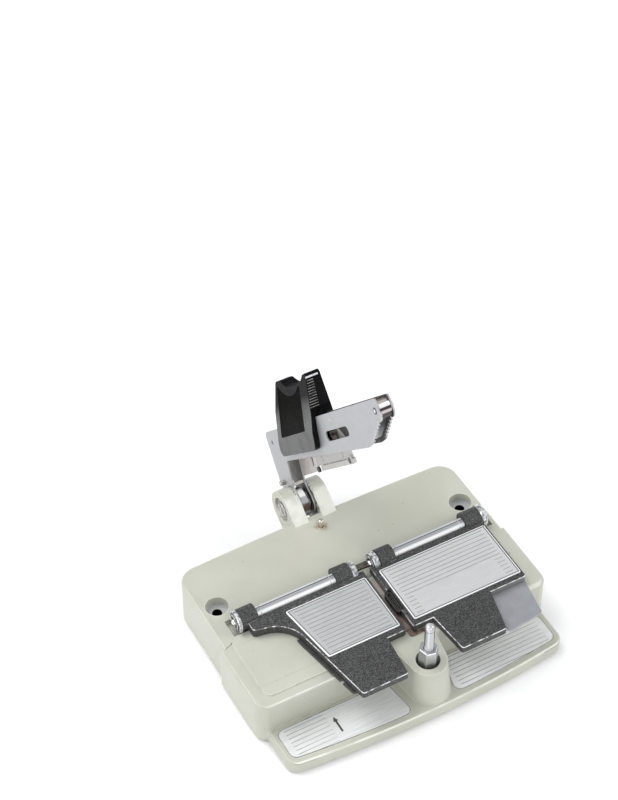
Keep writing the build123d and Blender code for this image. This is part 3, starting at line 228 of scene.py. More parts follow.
def facing(tree, way):
    """How far the surface faces along a way: 1 is straight along it, and 0 square to it."""
    return vector_value(tree, "DOT_PRODUCT", shade(tree, "TexCoord").outputs["Normal"], way)


def edge_mask(tree, radius, low=0.004, high=0.06):
    """Mask of the places near an outer or inner edge."""
    rounded = shade(tree, "Bevel", {"Radius": radius}, samples=4).outputs["Normal"]
    plain = shade(tree, "NewGeometry").outputs["Normal"]
    same = vector_value(tree, "DOT_PRODUCT", rounded, plain)
    return ramp(tree, minus(tree, 1.0, same), low, high)


def relief(tree, shader, height, depth):
    """Bumps of a depth in metres on the shader's surface."""
    bump = shade(tree, "Bump", {"Height": height, "Distance": depth, "Strength": 1.0})
    feed(tree, shader, Normal=bump.outputs["Normal"])


def finished(mesh, name, body, finish, sharp=30.0):
    """Makes a piece of a bmesh: smooth but for its sharp edges, with its finish, riding on its body."""
    data = bpy.data.meshes.new(name)
    mesh.to_mesh(data)
    mesh.free()
    data.shade_smooth()
    data.set_sharp_from_angle(angle=radians(sharp))
    data.materials.append(finish)
    piece = bpy.data.objects.new(name, data)
    bpy.context.scene.collection.objects.link(piece)
    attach(piece, body)
    return piece


def merged_copy(node):
    """Copy of a CAD piece as one closed mesh, with its flat faces whole."""
    mesh = bmesh.new()
    mesh.from_mesh(cad_nodes[node].data)
    bmesh.ops.remove_doubles(mesh, verts=mesh.verts, dist=0.002 * MM)
    bmesh.ops.dissolve_limit(
        mesh, angle_limit=radians(0.2), verts=mesh.verts, edges=mesh.edges, use_dissolve_boundaries=False
    )
    return mesh


def dressed(node, body, finish, edge, segments=2, sharp=30.0):
    """Stands for a CAD piece: the same form with its edges broken."""
    piece = finished(merged_copy(node), node + "_skin", body, finish, sharp)
    bevel = piece.modifiers.new("broken_edges", "BEVEL")
    bevel.width = edge
    bevel.segments = segments
    bevel.limit_method = "ANGLE"
    bevel.angle_limit = radians(sharp)
    bevel.harden_normals = True
    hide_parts(node)
    return piece


def metal_finish(name, light, dark, rough_low, rough_high, grain_size, stretch=None, depth=0.004 * MM):
    """Bare or plated metal: tone and gloss that drift a little, with fine marks along one way."""
    material, tree, shader, place = new_finish(name, Metallic=1.0)
    marks = grain(tree, place, grain_size, detail=4, rough=0.6, stretch=stretch)
    haze = grain(tree, place, 9 * MM, detail=3)
    feed(tree, shader, Base_Color=mixed(tree, ramp(tree, marks, 0.3, 0.7), dark, light))
    feed(tree, shader, Roughness=ramp(tree, haze, 0.3, 0.7, rough_low, rough_high))
    relief(tree, shader, marks, depth)
    return material


def reflection_bands(tree, along, ground, bands):
    """Painted reflection on a polished round piece: bands of colour by how far its surface faces along one
    way.
    """
    turned = facing(tree, along)
    tone = ground
    for low, high, colour in bands:
        tone = mixed(tree, near(tree, turned, (low + high) / 2, (high - low) * 0.6), tone, colour)
    return tone


# ---- Floor ------------------------------------------------------------------------------------------
# Plain pale table top, wide enough to fill the view.
FLOOR_HALF = 3.0

floor_finish, tree, shader, place = new_finish("table_top", Roughness=0.7)
cloud = grain(tree, place, 0.4)
feed(tree, shader, Base_Color=mixed(tree, cloud, tint(247, 247, 246), tint(250, 250, 250)))
floor_mesh = bmesh.new()
bmesh.ops.create_grid(floor_mesh, x_segments=2, y_segments=2, size=FLOOR_HALF)
floor_data = bpy.data.meshes.new("floor")
floor_mesh.to_mesh(floor_data)
floor_mesh.free()
floor_data.materials.append(floor_finish)
floor = bpy.data.objects.new("floor", floor_data)
bpy.context.scene.collection.objects.link(floor)
floor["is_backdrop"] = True

# ---- Base casting -----------------------------------------------------------------------------------
# Pressure die casting in pale grey-green stove enamel, with painted highlights on its rounded edges and front
# fillets, painted shade in two faint creases, the screw bores and the label pockets, a few dark specks,
# rust that has crept out round the stop pin, and grease on the hinge lugs.
UP = (0.0, 0.0, 1.0)
STOP_PIN_FOOT = (0.0, 29.8 * MM, 27 * MM)
RUST_REACH = (4.6 * MM, 1.6 * MM)  # from the pin's foot: where rust begins, and where it is full
LUG_FRONT = 38 * MM
LUG_INSIDE = 3.9 * MM  # X of the lugs' inner edges
PAD_SPAN = (-71 * MM, -30 * MM)
PAD_CREASES = (-15.5 * MM, -41.7 * MM)
PAD_LEVEL = (26.9 * MM, 27.1 * MM)
SCREW_SPOTS = ((-67.7 * MM, 10.0 * MM), (67.7 * MM, 10.0 * MM))
SEAT_RADIUS = 5.7 * MM
SEAT_LEVEL = 22.6 * MM
BORE_RADIUS = 2.6 * MM
BORE_LEVEL = 21.8 * MM
POCKET_LEVEL = (7 * MM, 7.93 * MM)
POCKET_GAP = 0.6 * MM
FILLET_WAY = (0.0, -0.64, 0.77)

enamel, tree, shader, place = new_finish("enamel", IOR=1.5)
x, y, z = axes(tree, place)
cloud = grain(tree, place, 40 * MM, detail=4)
coat = mixed(tree, ramp(tree, cloud, 0.3, 0.7), tint(179, 180, 167), tint(189, 189, 177))
specks = times(tree, ramp(tree, grain(tree, place, 1.6 * MM, detail=1), 0.76, 0.80), 0.6)
coat = mixed(tree, specks, coat, tint(92, 86, 74))
from_pin = vector_value(tree, "DISTANCE", place, STOP_PIN_FOOT)
patches = ramp(tree, grain(tree, place, 1.4 * MM, 4), 0.38, 0.62)
stain = times(tree, ramp(tree, from_pin, *RUST_REACH), patches, 0.8)
coat = mixed(tree, stain, coat, tint(146, 118, 84))
patches = ramp(tree, grain(tree, place, 2.2 * MM, 5, 0.7), 0.42, 0.72)
grease = times(tree, ramp(tree, y, LUG_FRONT, LUG_FRONT + 3 * MM), patches, 0.55)
coat = mixed(tree, grease, coat, tint(160, 160, 154))
patches = ramp(tree, grain(tree, place, 1.1 * MM, 4), 0.42, 0.58)
inner_edge = near(tree, calc(tree, "ABSOLUTE", x), LUG_INSIDE, 1.3 * MM)
dirt = times(tree, ramp(tree, y, LUG_FRONT - 1 * MM, LUG_FRONT + 1 * MM), inner_edge, patches, 0.8)
coat = mixed(tree, dirt, coat, tint(62, 60, 54))
on_pad = between(tree, x, *PAD_SPAN)
# Painted shade along two faint creases across the pad.
for crease_y in PAD_CREASES:
    fade = ramp(tree, grain(tree, place, 7 * MM, 2), 0.3, 0.6, 0.2, 0.7)
    crease_shade = times(tree, near(tree, y, crease_y, 0.45 * MM), on_pad, between(tree, z, *PAD_LEVEL), fade)
    coat = mixed(tree, crease_shade, coat, tint(176, 176, 160))
for spot in SCREW_SPOTS:
    out = from_centre(tree, x, y, spot)
    sunk = ramp(tree, z, SEAT_LEVEL + 1 * MM, SEAT_LEVEL)
    seat = times(tree, ramp(tree, out, SEAT_RADIUS + 0.3 * MM, SEAT_RADIUS), sunk, 0.85)
    coat = mixed(tree, seat, coat, tint(186, 188, 190))
    # Painted shade inside the screw bores.
    sunk = ramp(tree, z, BORE_LEVEL + 0.2 * MM, BORE_LEVEL)
    screw_bore_shade = times(tree, ramp(tree, out, BORE_RADIUS + 0.15 * MM, BORE_RADIUS), sunk)
    coat = mixed(tree, screw_bore_shade, coat, tint(34, 32, 30))
# Painted shadow on the pocket walls round each label.
for label in ("front_label_left", "front_label_right"):
    low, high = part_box(label)
    pocket_shade = times(
        tree,
        between(tree, x, low.x - POCKET_GAP, high.x + POCKET_GAP),
        between(tree, y, low.y - POCKET_GAP, high.y + POCKET_GAP),
        between(tree, z, *POCKET_LEVEL),
        below(tree, facing(tree, UP), 0.3),
    )
    coat = mixed(tree, pocket_shade, coat, tint(46, 44, 38))
# Painted highlight on the front fillets that face up and forward.
patches = ramp(tree, grain(tree, place, 9 * MM, 3), 0.3, 0.6, 0.35, 0.9)
fillet_highlight = times(tree, ramp(tree, facing(tree, FILLET_WAY), 0.84, 0.995), patches)
coat = mixed(tree, fillet_highlight, coat, tint(226, 226, 217))
# Painted highlight along all the rounded edges.
patches = ramp(tree, grain(tree, place, 5 * MM, 3), 0.35, 0.6, 0.3, 0.85)
coat = mixed(tree, times(tree, edge_mask(tree, 0.8 * MM), patches), coat, tint(222, 222, 212))
feed(tree, shader, Base_Color=coat, Roughness=ramp(tree, cloud, 0.2, 0.8, 0.28, 0.36))
relief(tree, shader, grain(tree, place, 1.3 * MM, detail=2), 0.015 * MM)
dressed("base_casting", "base", enamel, 0.4 * MM, segments=3)

# ---- Bottom cover, feet and their screws ------------------------------------------------------------
# Thin grey card-like sheet under the casting, held with four round rubber feet
# and the screws that go through them.
cover_finish, tree, shader, place = new_finish("cover_sheet", Roughness=0.6)
flecks = ramp(tree, grain(tree, place, 1.2 * MM, detail=4), 0.3, 0.7)
feed(tree, shader, Base_Color=mixed(tree, flecks, tint(88, 88, 84), tint(112, 111, 105)))
relief(tree, shader, flecks, 0.02 * MM)
dressed("bottom_cover", "base", cover_finish, 0.1 * MM)

rubber, tree, shader, place = new_finish("foot_rubber")
dust = ramp(tree, grain(tree, place, 2 * MM, detail=4), 0.4, 0.75)
feed(tree, shader, Base_Color=mixed(tree, dust, tint(28, 28, 28), tint(70, 68, 64)))
feed(tree, shader, Roughness=ramp(tree, dust, 0, 1, 0.6, 0.9))
relief(tree, shader, dust, 0.02 * MM)
dressed("rubber_feet", "base", rubber, 0.3 * MM)

dark_steel = metal_finish("dark_steel", tint(120, 116, 110), tint(72, 68, 62), 0.35, 0.5, 1.0 * MM)
dressed("foot_screws", "base", dark_steel, 0.1 * MM)

# ---- Front labels -----------------------------------------------------------------------------------
# Two aluminium labels glued into shallow pockets of the apron, with printed grey lines
# that leave a blank field; the left one has a plain arrow that points to the clamps.
LINE_PITCH = 2.35 * MM
LINE_WIDE = 0.32 * MM
LABEL_LINES = 8
LABEL_MARGIN = 3.4 * MM
LABEL_FIRST = 1.5 * MM  # from the rear edge to the first line
SHAFT_HALF = 0.5 * MM
SHAFT_STOP = 2 * MM  # from the arrow's tip
HEAD_LONG = 2.8 * MM
HEAD_SLOPE = 0.46  # half width of the arrow's head for each step from its tip


def printed_lines(tree, y, rear, count):
    """Mask of thin lines along X, counted to the front from a first one."""
    steps = calc(tree, "DIVIDE", minus(tree, rear, y), LINE_PITCH)
    phase = calc(tree, "FRACT", calc(tree, "ADD", steps, 0.5))
    ripple = calc(tree, "ABSOLUTE", minus(tree, phase, 0.5))
    half = LINE_WIDE / LINE_PITCH / 2
    line = ramp(tree, ripple, half * 1.2, half * 0.8)
    return times(tree, line, between(tree, steps, -0.5, count - 0.5))


def label_finish(name, node, lines_low, lines_high, strong, sheet_tints, arrow=None):
    """Satin aluminium with a painted shadow at its edge and printed lines between two X limits, and perhaps
    an arrow.
    """
    low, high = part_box(node)
    material, tree, shader, place = new_finish(name, Roughness=0.75)
    x, y, _ = axes(tree, place)
    lines = printed_lines(tree, y, high.y - LABEL_FIRST, LABEL_LINES)
    lines = times(tree, lines, between(tree, x, lines_low, lines_high))
    brushed = grain(tree, place, 0.6 * MM, detail=3, stretch=(0.06, 1, 1))
    sheet = mixed(tree, ramp(tree, brushed, 0.3, 0.7), *sheet_tints)
    fade = ramp(tree, x, lines_low, lines_high, 1.0, 0.6)
    patches = ramp(tree, grain(tree, place, 3 * MM, 3), 0.25, 0.5, strong * 0.6, strong)
    wear_and_highlight = times(tree, lines, fade, patches)
    tone = mixed(tree, wear_and_highlight, sheet, tint(62, 62, 62))
    if arrow:
        arrow_x, tail_y, tip_y = arrow
        aside = calc(tree, "ABSOLUTE", minus(tree, x, arrow_x))
        shaft = times(tree, below(tree, aside, SHAFT_HALF), between(tree, y, tail_y, tip_y - SHAFT_STOP))
        slope = times(tree, minus(tree, tip_y, y), HEAD_SLOPE)
        head = times(tree, below(tree, aside, slope), between(tree, y, tip_y - HEAD_LONG, tip_y))
        tone = mixed(tree, times(tree, calc(tree, "MAXIMUM", shaft, head), 0.95), tone, tint(34, 34, 34))
    # Painted shadow along the label's edge, where it meets its pocket.
    rim = times(tree, edge_mask(tree, 0.3 * MM), 0.7)
    feed(tree, shader, Base_Color=mixed(tree, rim, tone, tint(70, 70, 66)))
    relief(tree, shader, brushed, 0.003 * MM)
    return material


ARROW = (-44.2 * MM, -69.6 * MM, -60.4 * MM)  # its X, and the Y of its tail and its tip
right_low, right_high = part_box("front_label_right")
left_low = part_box("front_label_left")[0]
# Both labels are the same aluminium; the right one's lighter sheet is painted light, for the lamps it
# mirrors.
right_label = label_finish(
    "right_label", "front_label_right", right_low.x + LABEL_MARGIN, right_high.x - LABEL_MARGIN, 0.85,
    (tint(216, 217, 216), tint(230, 231, 230)),
)
left_label = label_finish(
    "left_label", "front_label_left", left_low.x + LABEL_MARGIN, ARROW[0] - LABEL_MARGIN, 0.7,
    (tint(204, 205, 204), tint(220, 221, 220)), ARROW,
)
dressed("front_label_right", "base", right_label, 0.08 * MM)
dressed("front_label_left", "base", left_label, 0.08 * MM)

# ---- Stop pin on the base ---------------------------------------------------------------------------
# Short bright pin that the lifted arm rests against, with a rusty foot.
pin_finish, tree, shader, place = new_finish("stop_pin_steel", Metallic=1.0)
low_down = ramp(tree, axes(tree, place)[2], STOP_PIN_FOOT[2] + 3 * MM, STOP_PIN_FOOT[2])
rust = times(tree, low_down, ramp(tree, grain(tree, place, 0.8 * MM, 3), 0.35, 0.6))
feed(tree, shader, Base_Color=mixed(tree, rust, tint(214, 208, 198), tint(140, 98, 62)))
feed(tree, shader, Roughness=ramp(tree, rust, 0, 1, 0.25, 0.8))
dressed("stop_pin", "base", pin_finish, 0.1 * MM)

# ---- Stop post --------------------------------------------------------------------------------------
# Hexagonal aluminium sleeve that turns in its boss, with a bright sprung pin in it
# that the arm's edge pushes down. The pin has painted reflection bands, and a painted dark line,
# the shade of a fine groove, runs round it below its dome.
GROOVE_DROP = 3.0 * MM  # below the top of the pin
GROOVE_HALF = 0.25 * MM
TO_RIGHT = (0.86, -0.51, 0.0)
UPWARD = (0.0, 0.67, 0.74)
aluminium = metal_finish(
    "aluminium", tint(200, 202, 203), tint(184, 186, 187), 0.3, 0.42, 0.7 * MM, stretch=(1, 1, 0.15)
)
spring_wire = metal_finish("spring_wire", tint(150, 148, 144), tint(96, 92, 86), 0.3, 0.45, 1.0 * MM)
bright_pin, tree, shader, place = new_finish("bright_pin", Metallic=0.35)
# Painted reflection bands across the pin: dark at its left edge, bright left of its middle, grey at its
# right.
tone = reflection_bands(tree, TO_RIGHT, tint(188, 189, 191), (
    (-1.1, -0.78, tint(84, 86, 88)), (-0.6, 0.0, tint(214, 215, 216)), (0.8, 1.1, tint(120, 122, 124)),
))
# Painted shade of a fine groove round the pin below its dome.
groove_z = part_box("plunger_pin")[1].z - GROOVE_DROP
groove = times(tree, near(tree, axes(tree, place)[2], groove_z, GROOVE_HALF), 0.75)
tone = mixed(tree, groove, tone, tint(92, 92, 94))
feed(tree, shader, Base_Color=tone, Roughness=ramp(tree, grain(tree, place, 9 * MM), 0.3, 0.7, 0.2, 0.24))
dressed("stop_sleeve", "post", aluminium, 0.25 * MM, segments=3)
dressed("plunger_pin", "plunger", bright_pin, 0.1 * MM)
cad_nodes["plunger_spring"].data.materials[0] = spring_wire

# ---- Hinge of the clamps ----------------------------------------------------------------------------
# A thin steel axle through four chromed brackets with raised rings that stand in the base's trough,
# with domed caps on its ends and polished sleeves between the knuckles.
RING_PROFILE = ((2.9, 0.0), (2.9, 0.25), (3.2, 0.4), (4.0, 0.4), (4.3, 0.2), (4.3, 0.0))  # radius, rise in mm
BORE_SHADE = (2.25 * MM, 0.7 * MM)  # middle radius and half width of the painted shade, a dark ring round the axle
RING_LINE = (4.45 * MM, 0.4 * MM)  # the same of the grey line outside the raised ring
BRACKET_WAYS = ((1, -1), (2, 1), (3, -1), (4, 1))  # number, and the way along X that its ring faces
axle_low, axle_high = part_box("clamp_axle")
axle_y = (axle_low.y + axle_high.y) / 2
axle_z = (axle_low.z + axle_high.z) / 2
# Painted reflection on the polished sleeves and the leaves' rings: bands of light and dark by how far each
# faces up.
SLEEVE_BANDS = (
    (0.86, 1.1, tint(206, 208, 210)), (0.72, 0.84, tint(62, 64, 66)), (0.34, 0.72, tint(158, 160, 163)),
    (-0.9, 0.28, tint(254, 254, 254)),
)
chrome, tree, shader, place = new_finish("chrome", Metallic=0.12)
tone = reflection_bands(tree, UPWARD, tint(190, 192, 194), SLEEVE_BANDS)
haze = ramp(tree, grain(tree, place, 8 * MM, 3), 0.3, 0.7)
feed(tree, shader, Base_Color=mixed(tree, times(tree, haze, 0.12), tone, tint(150, 150, 148)))
feed(tree, shader, Roughness=ramp(tree, haze, 0, 1, 0.10, 0.18))

bracket_chrome, tree, shader, place = new_finish("bracket_chrome", Metallic=0.6)
_, y, z = axes(tree, place)
out = from_centre(tree, y, z, (axle_y, axle_z))
blotch = ramp(tree, grain(tree, place, 1.5 * MM, 3), 0.4, 0.62)
tone = mixed(tree, blotch, tint(244, 245, 246), tint(138, 140, 142))
tone = mixed(tree, near(tree, out, *BORE_SHADE), tone, tint(46, 40, 36))
tone = mixed(tree, near(tree, out, *RING_LINE), tone, tint(96, 96, 96))
feed(tree, shader, Base_Color=tone, Roughness=ramp(tree, blotch, 0, 1, 0.14, 0.3))

# Painted reflection on the domed caps: brown below, a white highlight above.
cap_chrome, tree, shader, place = new_finish("cap_chrome", Metallic=0.8)
tone = reflection_bands(tree, (0.0, -0.5, 0.86), tint(226, 224, 220), (
    (-1.1, -0.1, tint(92, 70, 56)), (-0.1, 0.25, tint(150, 124, 108)), (0.6, 0.85, tint(255, 255, 255)),
))
feed(tree, shader, Base_Color=tone)
feed(tree, shader, Roughness=ramp(tree, grain(tree, place, 1 * MM), 0.3, 0.7, 0.08, 0.16))
dressed("clamp_axle", "base", dark_steel, 0.1 * MM)
dressed("axle_caps", "base", cap_chrome, 0.05 * MM)
for side in ("left_sleeve", "right_sleeve"):
    dressed(side, "base", chrome, 0.1 * MM)

for number, way in BRACKET_WAYS:
    node = f"hinge_bracket_{number}"
    low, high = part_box(node)
    face_x = high.x if way > 0 else low.x
    bracket = merged_copy(node)
    ring = bmesh.new()
    corners = [
        ring.verts.new((face_x + way * rise * MM, axle_y + radius * MM, axle_z))
        for radius, rise in RING_PROFILE
    ]
    rim = [ring.edges.new((a, b)) for a, b in zip(corners, corners[1:] + corners[:1])]
    bmesh.ops.spin(
        ring, geom=corners + rim, cent=(face_x, axle_y, axle_z), axis=(1, 0, 0), angle=2 * pi, steps=48,
        use_merge=True, use_duplicate=False,
    )
    bmesh.ops.recalc_face_normals(ring, faces=ring.faces)
    ring_data = bpy.data.meshes.new("ring")
    ring.to_mesh(ring_data)
    ring.free()
    bracket.from_mesh(ring_data)
    bpy.data.meshes.remove(ring_data)
    piece = finished(bracket, f"{node}_skin", "base", bracket_chrome)
    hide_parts(node)

# ---- Film leaves ------------------------------------------------------------------------------------
# Thin lower plates that carry the film under the clamps, each with two polished rings on the axle.
# The left one is black; the right one has a smooth grey-blue tab that reaches past its clamp.
RING_Z = 28.6 * MM


def painted_finish(name, light, dark, rough, edge_tone, edge_share):
    """Thin smooth paint on sheet metal, lighter at its edges; the rings are bare, with painted reflection
    bands.
    """
    material, tree, shader, place = new_finish(name)
    cloud = ramp(tree, grain(tree, place, 6 * MM, detail=4), 0.3, 0.7)
    edges = times(tree, edge_mask(tree, 0.25 * MM), edge_share)
    coat = mixed(tree, edges, mixed(tree, cloud, dark, light), edge_tone)
    bare = above(tree, axes(tree, place)[2], RING_Z)
    # Painted reflection bands on the bare rings.
    coat = mixed(tree, bare, coat, reflection_bands(tree, UPWARD, tint(190, 192, 194), SLEEVE_BANDS))
    feed(tree, shader, Base_Color=coat)
    feed(tree, shader, Metallic=times(tree, bare, 0.12))
    feed(tree, shader, Roughness=ramp(tree, bare, 0, 1, rough, 0.15))
    relief(tree, shader, grain(tree, place, 0.8 * MM), 0.004 * MM)
    return material


left_leaf_paint = painted_finish(
    "left_leaf_paint", tint(58, 58, 55), tint(42, 42, 40), 0.42, tint(130, 130, 128), 0.5
)
right_leaf_paint = painted_finish(
    "right_leaf_paint", tint(146, 148, 152), tint(138, 140, 144), 0.4, tint(212, 214, 216), 0.8
)
dressed("left_leaf", "left_leaf", left_leaf_paint, 0.15 * MM)
dressed("right_leaf", "right_leaf", right_leaf_paint, 0.15 * MM)
for side in ("left", "right"):
    dressed(f"{side}_register_pins", f"{side}_leaf", bright_pin, 0.03 * MM)

# ---- Film clamps ------------------------------------------------------------------------------------
# Die-cast upper jaws in charcoal speckled enamel. Their edges are rubbed bright,
# most of all along the front of the finger tabs and the left jaw's curved edge.
LIT_FACE = (45 * MM, -47 * MM)  # least X and greatest Y of the right jaw's front face beside its tab, which gets a painted highlight
CREST_LEVEL = (31.5 * MM, 32.3 * MM)
WEAR_FADE = (-40 * MM, -20 * MM)  # Y where the wear begins to lessen, and where it is least
FRONTWARD = (0.0, -1.0, 0.0)
OUTWARD = (-0.3, -0.95, 0.0)


def speckled_finish(name, lit):
    """Charcoal enamel with fine light and dark grains, rubbed bright along its edges; when lit, one front
    face gets a painted highlight.
    """
    material, tree, shader, place = new_finish(name)
    x, y, z = axes(tree, place)
    fine = grain(tree, place, 0.4 * MM, detail=2, rough=0.7)
    coat = mixed(tree, ramp(tree, fine, 0.42, 0.62), tint(16, 16, 16), tint(86, 86, 86))
    stars = ramp(tree, grain(tree, place, 0.8 * MM, detail=0), 0.80, 0.84)
    coat = mixed(tree, times(tree, stars, 0.4), coat, tint(168, 168, 166))
    if lit:
        # Painted highlight: the right jaw's front face beside its tab is made lighter, as where the light
        # falls on it.
        front = above(tree, facing(tree, FRONTWARD), 0.6)
        face = times(tree, front, above(tree, x, LIT_FACE[0]), below(tree, y, LIT_FACE[1]))
        coat = mixed(tree, times(tree, face, 0.65), coat, tint(140, 140, 138))
    crest = times(tree, near(tree, facing(tree, UP), 0.62, 0.44), between(tree, z, *CREST_LEVEL))
    rear_share = ramp(tree, y, *WEAR_FADE, 0.0, 0.12)
    patches = minus(tree, grain(tree, place, 2.4 * MM, 4), rear_share)
    outer = ramp(tree, facing(tree, OUTWARD), 0.05, 0.3)
    bare = times(tree, crest, outer, ramp(tree, patches, 0.36, 0.52, 0.12, 1.0))
    coat = mixed(tree, bare, coat, tint(226, 226, 226))
    feed(tree, shader, Base_Color=coat)
    feed(tree, shader, Metallic=times(tree, bare, 0.6))
    feed(tree, shader, Roughness=ramp(tree, fine, 0.3, 0.7, 0.4, 0.56))
    relief(tree, shader, fine, 0.03 * MM)
    return material


dressed("left_clamp", "left_clamp", speckled_finish("left_hammertone", False), 0.15 * MM)
dressed("right_clamp", "right_clamp", speckled_finish("right_hammertone", True), 0.15 * MM)

# ---- Clamp plates -----------------------------------------------------------------------------------
# Brushed aluminium plates let into the clamps, with a bright cut rim and fine printed lines.
# The right one keeps a blank field in front, where its lines are short.
PLATE_LINES = 13
PLATE_MARGIN = 3.0 * MM
PLATE_FIRST = 2.6 * MM  # from the rear edge to the first line
RIM_LINE = (0.85 * MM, 0.3 * MM)  # middle and half width of the dark line, from the plate's edge
RIM_BRIGHT = (0.68 * MM, 0.5 * MM)  # from the plate's edge: where the rim ends, and where it is full
BLANK_MARGIN = 7 * MM
BLANK_DEPTH = 12.5 * MM
LEFT_SLANT = 5.1 / 33.0  # how far the left plate's side runs along X for each step to the front


def plate_finish(name, node, slant, blank, light, dark):
    """Brushed aluminium with a bright rim inside a dark line, and printed lines that stop short of it."""
    low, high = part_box(node)
    material, tree, shader, place = new_finish(name, Metallic=0.45)
    x, y, _ = axes(tree, place)
    slanted = calc(tree, "ADD", times(tree, minus(tree, high.y, y), slant), low.x)
    from_left = minus(tree, x, slanted)
    gap = calc(tree, "MINIMUM", minus(tree, high.y, y), minus(tree, y, low.y))
    gap = calc(tree, "MINIMUM", gap, calc(tree, "MINIMUM", from_left, minus(tree, high.x, x)))
    lines = printed_lines(tree, y, high.y - PLATE_FIRST, PLATE_LINES)
    clear_left = above(tree, from_left, PLATE_MARGIN)
    lines = times(tree, lines, clear_left, below(tree, x, high.x - PLATE_MARGIN))
    if blank:
        aside = between(tree, x, low.x + BLANK_MARGIN, high.x - BLANK_MARGIN)
        field = times(tree, aside, below(tree, y, low.y + BLANK_DEPTH))
        lines = times(tree, lines, minus(tree, 1.0, field))
    brushed = grain(tree, place, 0.5 * MM, detail=4, stretch=(0.04, 1, 1))
    sheet = mixed(tree, ramp(tree, brushed, 0.3, 0.7), dark, light)
    sheet = mixed(tree, near(tree, gap, *RIM_LINE), sheet, tint(92, 92, 92))
    sheet = mixed(tree, ramp(tree, gap, *RIM_BRIGHT), sheet, tint(250, 250, 250))
    wear_and_highlight = times(tree, lines, ramp(tree, grain(tree, place, 4 * MM, 3), 0.25, 0.5, 0.5, 0.8))
    feed(tree, shader, Base_Color=mixed(tree, wear_and_highlight, sheet, tint(112, 112, 112)))
    feed(tree, shader, Roughness=ramp(tree, brushed, 0.2, 0.8, 0.38, 0.46))
    relief(tree, shader, brushed, 0.002 * MM)
    return material


left_plate = plate_finish(
    "left_plate_sheet", "left_plate", LEFT_SLANT, False, tint(192, 194, 193), tint(182, 184, 183)
)
right_plate = plate_finish(
    "right_plate_sheet", "right_plate", 0.0, True, tint(214, 215, 214), tint(204, 205, 204)
)
dressed("left_plate", "left_clamp", left_plate, 0.06 * MM)
dressed("right_plate", "right_clamp", right_plate, 0.06 * MM)

# ---- Pressure pads and guide shoe -------------------------------------------------------------------
# Felt pads under the clamps press on the film; the dark steel shoe in the right clamp's edge
# guides the arm's blade strip.
felt, tree, shader, place = new_finish("felt", Roughness=0.95)
fibre = grain(tree, place, 0.5 * MM, detail=6, rough=0.8)
wool = mixed(tree, ramp(tree, fibre, 0.3, 0.7), tint(58, 52, 46), tint(96, 88, 78))
feed(tree, shader, Base_Color=wool)
relief(tree, shader, fibre, 0.15 * MM)
for side in ("left", "right"):
    dressed(f"{side}_pad", f"{side}_clamp", felt, 0.2 * MM)

black_steel, tree, shader, place = new_finish("black_steel")
oil = ramp(tree, grain(tree, place, 1.4 * MM, 4), 0.35, 0.7)
rubbed = times(tree, edge_mask(tree, 0.3 * MM), 0.35)
tone = mixed(tree, rubbed, mixed(tree, oil, tint(14, 13, 12), tint(38, 36, 33)), tint(150, 146, 140))
feed(tree, shader, Base_Color=tone, Roughness=ramp(tree, oil, 0, 1, 0.25, 0.5))
dressed("guide_shoe", "right_clamp", black_steel, 0.2 * MM)

# ---- Film bed ---------------------------------------------------------------------------------------
# Worn brownish metal strip between the clamps, with the slot for the blade.
BED_REAR = (-26 * MM, -22 * MM)
BED_BAR = (7.6 * MM, -48.4 * MM)  # least X and middle Y of the bright bar in front

bed_metal, tree, shader, place = new_finish("bed_metal", Metallic=0.6, Roughness=0.4)
x, y, _ = axes(tree, place)
film = ramp(tree, grain(tree, place, 1.4 * MM, 4, stretch=(1, 0.2, 1)), 0.3, 0.7)
tone = mixed(tree, film, tint(112, 92, 82), tint(158, 140, 130))
tone = mixed(tree, times(tree, ramp(tree, y, *BED_REAR), 0.7), tone, tint(206, 198, 190))
bright_bar = times(tree, near(tree, y, BED_BAR[1], 0.5 * MM), above(tree, x, BED_BAR[0]))
feed(tree, shader, Base_Color=mixed(tree, bright_bar, tone, tint(226, 216, 200)))
relief(tree, shader, film, 0.004 * MM)
dressed("film_bed", "base", bed_metal, 0.12 * MM)

# ---- Arm --------------------------------------------------------------------------------------------
# Two satin steel side plates on one hinge pin, riveted to spacers, with a serrated nose,
# a drum and a coil spring at the hinge, and a tool carrier with its blade strip.
RISE = radians(48.7)
ALONG = (0.0, -cos(RISE), sin(RISE))
ABOVE = (0.0, sin(RISE), cos(RISE))
HINGE_SPOT = (0.0, 49.3 * MM, 25.8 * MM)
NOSE_D = (126 * MM, 129 * MM)
NOSE_U = (31.5 * MM, 30 * MM)


def arm_place(tree, place):
    """Distances along the arm and above its hinge."""
    out = shade(tree, "VectorMath", {0: place, 1: HINGE_SPOT}, operation="SUBTRACT").outputs[0]
    return vector_value(tree, "DOT_PRODUCT", out, ALONG), vector_value(tree, "DOT_PRODUCT", out, ABOVE)


def arm_spot(d, u, x=0.0):
    """Point of the scene at a place on the arm, all in mm."""
    spot = Vector(HINGE_SPOT) + (Vector(ALONG) * d + Vector(ABOVE) * u) * MM
    spot.x = x * MM
    return spot


